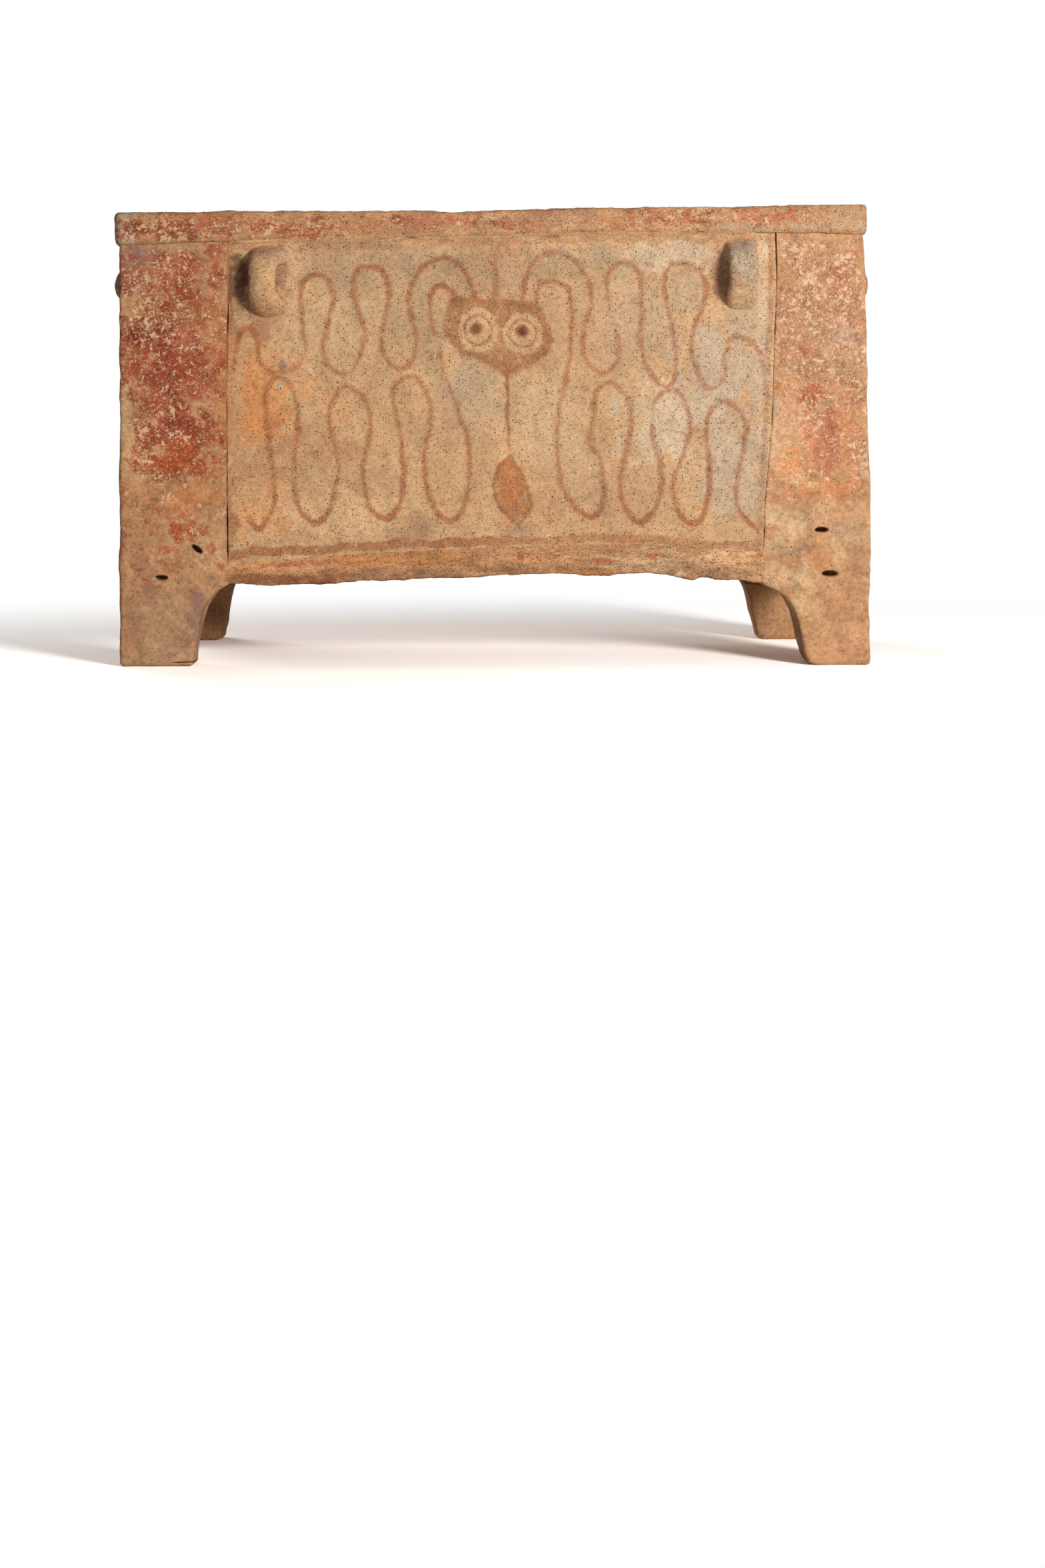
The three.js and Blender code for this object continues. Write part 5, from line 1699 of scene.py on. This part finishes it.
@dataclass(frozen=True)
class WallPanel:
    """A wall between two posts, standing on its rail and reaching up under the rim."""

    name: str
    side: Side
    handles: tuple[StrapHandle, ...]
    grid: float = 0.0036
    edge_round: float = 0.0015
    groove: float = 0.0020
    right_swell: float = 0.0022
    sunk: float = 0.004
    bead: float = 0.0010
    bead_drop: float = 0.0040
    bead_spread: float = 0.0024
    lip: float = 0.0007
    lip_rise: float = 0.001
    lip_spread: float = 0.0016
    rim_fillet: float = 0.0075
    middle: float = 0.4
    edge_steps: tuple[float, ...] = (0.0002, 0.0005, 0.0010, 0.0016, 0.003)

    def build(self) -> bpy.types.Object:
        """Makes the wall.

        Returns:
            Sections carried from seam to seam. A section's front is finely stepped. It comes out to the
            rail's face with a small lip and goes on inside the rail, swells round handle roots and
            towards the right seam, has a bead under the rim, and at both seams falls back along a
            quarter circle into a groove.
        """
        lines = LINES[self.side]
        width = float(lines.right(self.middle) - lines.left(self.middle))
        share = (stations(width, self.grid, self.edge_steps) / width)[:, None]
        rail = lines.left(PLAN.rail_top) * (1 - share) + lines.right(PLAN.rail_top) * share
        over = curve_through(rail, lines.over)
        low = over - self.sunk
        front, back = np.linspace(0, 1, int(0.45 / self.grid)), np.linspace(1, 0, 52)
        inside = np.array([0.25, 0.5, 0.75])
        t = np.concatenate([front, np.ones(3), back, np.zeros(3)])[None, :]
        v = PLAN.recess + PLAN.panel * np.concatenate([0 * front, inside, np.ones_like(back), inside[::-1]])[None, :]
        z = low + (PLAN.wall_height - low) * t
        u = lines.left(z) * (1 - share) + lines.right(z) * share
        place = self.side.place(u, v, z)
        top = np.maximum(PLAN.wall_top(place[..., 0]), RIM.underside(place)) + 0.003
        z = low + (top - low) * t
        faces_out = v < PLAN.recess + 0.0001
        gap = np.minimum(u - lines.left(z), lines.right(z) - u)
        fall = quarter_fall(gap, self.edge_round)
        raised = sum(handle.swell(u, z) for handle in self.handles) - fall
        raised = raised - self.groove * ease(0.0011, 0.0003, gap) * ease(0.0, 0.014, z - over)
        raised = raised + self.right_swell * ease(0.016, 0.003, lines.right(z) - u)
        raised = raised + (PLAN.recess - PLAN.rail_setback + 0.0002) * ease(0.012, 0.001, z - over)
        raised = raised + self.lip * np.exp(-((z - over - self.lip_rise) / self.lip_spread) ** 2)
        place = self.side.place(u, v, z)
        below = RIM.underside(place) - z
        raised = raised + self.bead * np.exp(-((below - self.bead_drop) / self.bead_spread) ** 2)
        raised = raised + self.rim_fillet * RIM.joined(place) * ease(0.0048, -0.0015, below)
        v = v - np.where(faces_out, raised, -0.4 * fall)
        skin = Skin(self.side.place(u, v, z))
        return skin.pushed(clay_relief(skin.rings)).piece(f"{self.name}_clay")


@dataclass(frozen=True)
class BottomRail:
    """The bar between two legs, whose inner ledge carries the floor."""

    name: str
    side: Side
    step: float = 0.0026
    lower_round: float = 0.0055
    upper_round: float = 0.0016
    overlap: float = 0.0060
    middle: float = 0.15

    def build(self) -> bpy.types.Object:
        """Makes the rail.

        Returns:
            Six-cornered sections from a little inside one post to a little inside the other, with the
            arches below and the bow above. Its face comes forward to the posts' faces beside them and
            slips under them, so that no joint shows, and its lower part is rougher.
        """
        lines = LINES[self.side]
        start = float(lines.left(self.middle)) - self.overlap
        end = float(lines.right(self.middle)) + self.overlap
        u = np.linspace(start, end, int((end - start) / self.step))
        under, over = curve_through(u, lines.under), curve_through(u, lines.over)
        beside = np.minimum(u - start, end - u) - self.overlap
        face = PLAN.rail_setback * ease(0.0, 0.034, beside) - 0.0003 + 0.0010 * ease(-0.0025, -0.0055, beside)
        ledge = np.full_like(u, PLAN.floor_top - PLAN.floor_depth - 0.0003)
        inner, lip = np.full_like(u, PLAN.leaf), np.full_like(u, PLAN.leaf + PLAN.ledge)
        corners = paired((face, under), (face, over), (inner, over), (inner, ledge), (lip, ledge), (lip, under))
        sizes = (self.lower_round, self.upper_round, 0.002, 0.001, 0.002, 0.004)
        cuts = np.broadcast_to(np.array(sizes)[None, :, None], (len(u), 6, 2))
        section = rounded_rings(corners, cuts, (8, 7, 4, 3, 4, 5), (20, 10, 4, 4, 4, 16))
        skin = Skin(self.side.place(u[:, None], section[..., 0], section[..., 1]))
        rough = 1.1 + 0.9 * ease(0.55, 0.1, (skin.rings[..., 2] - under[:, None]) / (over - under)[:, None])
        return skin.pushed(clay_relief(skin.rings, rough)).piece(f"{self.name}_clay")


@dataclass(frozen=True)
class RimBand:
    """The rounded band round the top of the walls, in one ring. Heights are tables read off the front."""

    overhang: float = 0.0065
    lip: float = 0.005
    height: float = 0.0425
    top_rise: float = 0.009
    outer_radius: float = 0.012
    inner_radius: float = 0.005
    lower_round: tuple[float, float] = (0.0055, 0.0130)
    upper_round: tuple[float, float] = (0.0085, 0.0085)
    inner_round: tuple[float, float] = (0.013, 0.013)
    step: float = 0.0030
    under_knots: Knots = _metres((
        (-545, 606.4), (-480, 608.6), (-410, 611.0), (-295, 611.2), (-195, 611.4), (-94, 615.2), (2, 617.2),
        (68, 620.6), (155, 622.2), (300, 622.4), (441, 621.6), (508, 620.4), (545, 620.2)))
    top_knots: Knots = _metres((
        (-545, 654.4), (-440, 653.2), (-380, 654.8), (-340, 654.6), (-290, 655.8), (-200, 656.8), (-140, 656.4),
        (-40, 655.0), (50, 657.0), (160, 659.0), (200, 659.2), (270, 660.4), (340, 661.2), (440, 663.2),
        (510, 664.2), (545, 664.2)))

    def underside(self, points: Array) -> Array:
        """Height of the band's lower edge at places, wavy at the front and straight at the back."""
        return self._read_off(points, PLAN.wall_top(points[..., 0]), 0.0009, Ripple(0.17, 41), self.under_knots)

    def joined(self, points: Array) -> Array:
        """Share of smearing between band and wall at places: little near the front's two ends."""
        return 1 - 0.85 * np.maximum(ease(-0.405, -0.445, points[..., 0]), ease(0.36, 0.40, points[..., 0]))

    def upper(self, points: Array) -> Array:
        """Height of the band's upper edge at places."""
        plan = PLAN.wall_height + self.height + self.top_rise * (points[..., 0] / PLAN.length)
        return self._read_off(points, plan - 0.0022, 0.0011, Ripple(0.13, 42), self.top_knots)

    @staticmethod
    def _read_off(points: Array, plan: Array, sway: float, ripple: Ripple, knots: Knots) -> Array:
        """Height of one edge of the band.

        Args:
            points: Places on the plan.
            plan: The edge's straight height there.
            sway: How much it strays from that at the back.
            ripple: The field that it strays by, read on the level.
            knots: Its heights as read off the front.

        Returns:
            The swayed height at the back, passing into the table's towards the front.
        """
        straight = plan + sway * ripple.at(points * np.array([1.0, 1.0, 0.0]))
        return straight + (curve_through(points[..., 0], knots) - straight) * ease(0.15, -0.2, points[..., 1])

    def build(self) -> bpy.types.Object:
        """Makes the ring.

        Returns:
            A four-cornered section carried round a rounded rectangle and joined to itself. A point's
            distance inwards sets the corner radius that it turns with, and its height lies between the
            underside and the upper edge at its place.
        """
        width = self.overhang + PLAN.leaf + self.lip
        corners = np.array([[[0, 0], [0, self.height], [width, self.height], [width, 0]]])
        cuts = np.array([[self.lower_round, self.upper_round, self.inner_round, (0.001, 0.001)]])
        section = rounded_rings(corners, cuts, (9, 9, 9, 3), (12, 12, 10, 12))[0]
        inward, share = section[:, 0], section[:, 1] / self.height
        radius = np.maximum(self.outer_radius - inward, self.inner_radius)
        half_x, half_y = HALF_LENGTH + self.overhang, HALF_DEPTH + self.overhang
        turns = []
        for sign_x, sign_y, start in ((1, -1, -0.5), (1, 1, 0.0), (-1, 1, 0.5), (-1, -1, 1.0)):
            angle = (start + 0.5 * np.linspace(0, 1, 9)[:, None]) * math.pi
            turns.append(np.stack([sign_x * (half_x - inward - radius) + radius * np.cos(angle),
                                   sign_y * (half_y - inward - radius) + radius * np.sin(angle)], axis=-1))
        plans = []
        for turn, following in zip(turns, turns[1:] + turns[:1]):
            span = np.abs(following[0] - turn[-1]).sum(axis=-1).max()
            way = np.linspace(0, 1, int(span / self.step))[1:-1, None, None]
            plans += [turn, turn[-1] * (1 - way) + following[0] * way]
        flat = np.concatenate(plans)
        points = np.concatenate([flat, np.zeros((*flat.shape[:2], 1))], axis=-1)
        points[..., 2] = self.underside(points) * (1 - share) + self.upper(points) * share
        skin = Skin(points, looped=True)
        skin = skin.pushed(clay_relief(skin.rings, 1.3))
        skin.rings[..., 2] = np.minimum(skin.rings[..., 2], cad_box[1][2] - 0.0002)
        return skin.piece("rim_band_clay")


RIM = RimBand()


@dataclass(frozen=True)
class FloorSlab:
    """The floor, a plate that lies on the rails' ledges."""

    margin: float = 0.0004
    step: float = 0.009

    def build(self) -> bpy.types.Object:
        """Makes the plate.

        Returns:
            Rectangles with eased corners, carried along the chest.
        """
        half_x = HALF_LENGTH - PLAN.leaf - self.margin
        half_y = HALF_DEPTH - PLAN.leaf - self.margin
        low, high = PLAN.floor_top - PLAN.floor_depth, PLAN.floor_top
        corners = np.array([[[-half_y, low], [half_y, low], [half_y, high], [-half_y, high]]])
        section = rounded_rings(corners, np.full((1, 4, 2), 0.003), (4, 4, 4, 4), (42, 1, 42, 1))[0]
        x = np.linspace(-half_x, half_x, int(2 * half_x / self.step))[:, None]
        skin = Skin(np.stack(np.broadcast_arrays(x, section[:, 0], section[:, 1]), axis=-1))
        return skin.pushed(clay_relief(skin.rings) * 0.9).piece("floor_slab_clay")


@dataclass(frozen=True)
class FrameLines:
    """The painted bands that frame the front wall, as tables in millimetres."""

    right_band: Knots = (
        (165, 386), (172, 386), (220, 387), (280, 389), (350, 394), (430, 396), (520, 400), (600, 402))
    left_strength: Knots = (
        (160, 0.6), (200, 0.85), (245, 0.7), (300, 0.45), (400, 0.42), (440, 0.62), (520, 0.8), (600, 0.7))
    low_strength: Knots = (
        (-385, 0.80), (-300, 0.82), (-150, 0.80), (-20, 0.86), (50, 0.68), (120, 0.66), (330, 0.68), (400, 0.62))
    low_band: Knots = (
        (-385, 160.5), (-350, 163.5), (-250, 168), (-130, 175.5), (0, 178), (120, 182.5), (220, 181), (330, 173),
        (400, 167))

    def cover(self, points: Array) -> Array:
        """How fully the frame's paint covers places on the front wall.

        Args:
            points: Places on the leaning chest, in metres.

        Returns:
            The largest of the four bands' covers, each a soft-edged strip times its own strength.
        """
        x, z = points[..., 0] / MM, points[..., 2] / MM
        wobble = rippled(points, WOBBLE)
        left = ease(-364, -374, x + 1.6 * wobble) * curve_through(z, self.left_strength) * 0.85
        right = ease(7.0, 2.5, np.abs(x - curve_through(z, self.right_band) + 0.4 * wobble)) * 0.55
        below_rim = RIM.underside(points) / MM - z
        top = ease(7.0, 2.5, np.abs(below_rim - 8.5 + 0.5 * wobble)) * 0.55
        low = ease(10.0, 4.5, np.abs(z - curve_through(x, self.low_band) + 0.6 * wobble))
        return np.maximum.reduce([left, right, top, low * curve_through(x, self.low_strength)])


def painted_fields(points: Array, fields: Fields) -> Fields:
    """Adds the painting to the front wall's fields.

    Args:
        points: Places on the leaning chest.
        fields: The coat's own fields.

    Returns:
        The same with the cover of lines, fills and pupils, all kept to the wall's outer face.
    """
    face = ease(-0.222, -0.2245, points[..., 1])
    spots = np.stack([points[..., 0], points[..., 2]], axis=-1) / MM
    sway = np.stack([Ripple(0.045, 61).at(points), Ripple(0.045, 62).at(points)], axis=-1) * 0.9
    painting = OctopusPainting()
    lines = np.maximum(painting.cover(spots + sway), FrameLines().cover(points))
    fields[Layer.LINES] = lines * face
    fields[Layer.FILLS] = painting.fill(spots + sway) * face
    fields[Layer.PUPILS] = painting.pupils(spots) * face
    return fields


@dataclass(frozen=True)
class RootCoat:
    """Lets a handle's roots take the tints of the wall that they are smeared onto."""

    wall: Kind
    side: Side
    inner: float = 0.0005
    outer: float = 0.0140

    def __call__(self, points: Array, fields: Fields) -> Fields:
        """Blends the wall's coat into the handle's.

        Args:
            points: Places on the handle.
            fields: The handle's own fields.

        Returns:
            The fields, passing into the wall's own ones as the surface comes down to the wall.
        """
        out_x, out_y = self.side.value
        stands_out = out_x * points[..., 0] + out_y * points[..., 1] - self.side.half() + PLAN.recess
        share = ease(self.outer, self.inner, stands_out)
        for layer, values in COATS[self.wall].fields(points, points).items():
            fields[layer] = blended(fields[layer], values, share)
        return fields


@dataclass(frozen=True)
class Chest:
    """The whole chest, as lists of its pieces."""

    handles: tuple[StrapHandle, ...] = (
        StrapHandle("front_left_handle", Side.FRONT, -0.3290, 0.6020, 0.090, 0.0432, squareness=2.4,
                    root_shift=0.013, root_reach=0.92, root_bend=1.15, root_width=0.062, root_thickness=0.031,
                    upper_flare=0.004, lower_flare=0.006, droop=0.005, dive=0.004),
        StrapHandle("front_right_handle", Side.FRONT, 0.3590, 0.6085, 0.092, 0.0405, squareness=3.8, width=0.042,
                    root_shift=0.002, root_reach=0.40, tail=2.6, dive=0.027, droop=0.020, side_flare=0.004,
                    lower_flare=0.002),
        StrapHandle("back_right_handle", Side.BACK, -0.343, 0.6075, 0.090, 0.0425),
        StrapHandle("back_left_handle", Side.BACK, 0.333, 0.5995, 0.090, 0.0425),
        StrapHandle("left_end_handle", Side.LEFT, 0.0, 0.6025, 0.076, 0.0465),
        StrapHandle("right_end_handle", Side.RIGHT, 0.0, 0.6035, 0.076, 0.0466))
    left_slots: tuple[Slot, ...] = (
        Slot(-0.426, 0.169, 0.0085, 0.0036, -0.63), Slot(-0.476, 0.128, 0.0088, 0.0030))
    right_slots: tuple[Slot, ...] = (
        Slot(0.4690, 0.1945, 0.0085, 0.0040, 0.0, 0.35), Slot(0.4800, 0.132, 0.0098, 0.0038))

    def build(self, dresser: Dresser) -> None:
        """Builds, dresses and binds every piece, in order from the ground up.

        Args:
            dresser: Gives each piece its coat and material.
        """
        dresser.dress(FloorSlab().build(), Kind.FLOOR, ["floor_slab"])
        posts = (CornerPost("front_left_post", Side.FRONT, Side.LEFT, self.left_slots),
                 CornerPost("front_right_post", Side.RIGHT, Side.FRONT, self.right_slots),
                 CornerPost("back_right_post", Side.BACK, Side.RIGHT),
                 CornerPost("back_left_post", Side.LEFT, Side.BACK))
        for post in posts:
            dresser.dress(post.build(), Kind.POST, [post.name])
        names = {Side.FRONT: "front", Side.RIGHT: "right_end", Side.BACK: "back", Side.LEFT: "left_end"}
        for side, name in names.items():
            rail = BottomRail(f"{name}_rail", side)
            dresser.dress(rail.build(), Kind.RAIL, [rail.name])
            grips = tuple(handle for handle in self.handles if handle.side is side)
            front = side is Side.FRONT
            panel = WallPanel(f"{name}_panel", side, grips, grid=0.0023 if front else 0.0036)
            dresser.dress(panel.build(), Kind.PAINTED if front else Kind.WALL, [panel.name],
                          painted_fields if front else None)
        for handle in self.handles:
            wall = Kind.PAINTED if handle.side is Side.FRONT else Kind.WALL
            dresser.dress(handle.build(), Kind.HANDLE, [handle.name], RootCoat(wall, handle.side))
        dresser.dress(RIM.build(), Kind.RIM, [f"{name}_rim" for name in names.values()])


@dataclass(frozen=True)
class Lamp:
    """Square lamp that is aimed at the chest. Its way is the turn from straight ahead to the right and the
    rise, in radians; its distance is from the front wall's middle; its power is in watts."""

    name: str
    way: tuple[float, float]
    distance: float
    size: float
    power: float
    tint: Colour = (1.0, 0.985, 0.965)
    aim: tuple[float, float, float] = (0.0, -HALF_DEPTH, 0.36)

    def build(self) -> None:
        """Sets up the lamp."""
        data = bpy.data.lights.new(self.name, "AREA")
        data.shape, data.size, data.energy, data.color = "SQUARE", self.size, self.power, self.tint
        turn, rise = self.way
        heading = Vector((math.sin(turn) * math.cos(rise), -math.cos(turn) * math.cos(rise), math.sin(rise)))
        lamp = placed(self.name, data)
        lamp.location = Vector(self.aim) + heading * self.distance
        lamp.rotation_euler = (-heading).to_track_quat("-Z", "Y").to_euler()


@dataclass(frozen=True)
class Studio:
    """Floor, lights and camera. The camera stands where the photo was taken from, the key lamp at the right
    front and a weaker, wider one at the left back."""

    eye: tuple[float, float, float] = (-0.010, -3.365, 0.333)
    roll: float = -0.002
    lens: float = 50.0
    sensor: float = 36.0
    clip: tuple[float, float] = (0.05, 60.0)
    shift: tuple[float, float] = (0.0238, -0.2228)
    lamps: tuple[Lamp, ...] = (Lamp("key", (0.560, 0.215), 4.0, 0.80, 144.0),
                               Lamp("fill", (3.75, 0.32), 4.6, 2.4, 60.0))
    sky: float = 0.105
    floor_reach: float = 14.0
    floor_tint: tuple[float, ...] = (0.80, 0.80, 0.79, 1.0)
    floor_gain: float = 2.6

    def build(self) -> None:
        """Sets up the whole studio."""
        self._camera()
        for lamp in self.lamps:
            lamp.build()
        self._world()
        self._floor()
        bpy.context.scene.view_settings.view_transform = "Standard"

    def _camera(self) -> None:
        """Level camera, shifted down and to the right, as the photo's perspective asks."""
        data = bpy.data.cameras.new("camera")
        data.lens, data.sensor_width = self.lens, self.sensor
        data.shift_x, data.shift_y = self.shift
        data.clip_start, data.clip_end = self.clip
        camera = placed("camera", data)
        camera.matrix_world = (Matrix.Translation(self.eye) @ Matrix.Rotation(math.pi / 2, 4, "X")
                               @ Matrix.Rotation(self.roll, 4, "Z"))
        bpy.context.scene.camera = camera

    def _world(self) -> None:
        """Even pale light from all round, and plain white where the camera sees past everything."""
        world = bpy.data.worlds.new("studio")
        sketch = NodeSketch.emptied(world)
        seen = sketch.node("ShaderNodeLightPath").outputs["Is Camera Ray"]
        strength = sketch.plus(self.sky, sketch.times(seen, 1.0 - self.sky))
        light = sketch.node("ShaderNodeBackground", {"Color": WHITE, "Strength": strength})
        sketch.node("ShaderNodeOutputWorld", {"Surface": light.outputs[0]})
        bpy.context.scene.world = world

    def _floor(self) -> None:
        """Pale floor that takes the shadows by the feet and passes into plain white farther out."""
        mesh = bpy.data.meshes.new("studio_floor")
        corners = [(x * self.floor_reach, y * self.floor_reach, 0) for x, y in ((-1, -1), (1, -1), (1, 1), (-1, 1))]
        mesh.from_pydata(corners, [], [(0, 1, 2, 3)])
        material = bpy.data.materials.new("studio_floor")
        sketch = NodeSketch.emptied(material)
        place = sketch.node("ShaderNodeTexCoord").outputs["Object"]
        parts = sketch.node("ShaderNodeSeparateXYZ", {"Vector": place})
        across, along = sketch.times(parts.outputs["X"], 0.62), parts.outputs["Y"]
        away = sketch.math("SQRT", sketch.plus(sketch.times(across, across), sketch.times(along, along)))
        seen = sketch.node("ShaderNodeLightPath").outputs["Is Camera Ray"]
        plain = sketch.times(sketch.step(away, 0.40, 1.3), seen)
        shown = sketch.blend(seen, self.floor_tint, (*[self.floor_gain] * 3, 1.0))
        pale = sketch.node("ShaderNodeBsdfDiffuse", {"Color": shown})
        white = sketch.node("ShaderNodeEmission", {"Color": WHITE, "Strength": 1.0})
        mixed = sketch.node("ShaderNodeMixShader", {0: plain, 1: pale.outputs[0], 2: white.outputs[0]})
        sketch.node("ShaderNodeOutputMaterial", {"Surface": mixed.outputs[0]})
        mesh.materials.append(material)
        placed("studio_floor", mesh)


def main() -> None:
    """Builds the chest and its studio."""
    logging.basicConfig(level=logging.INFO, format="%(name)s: %(message)s")
    Chest().build(Dresser())
    Studio().build()
    bpy.context.view_layer.update()


if __name__ == "__main__":
    main()
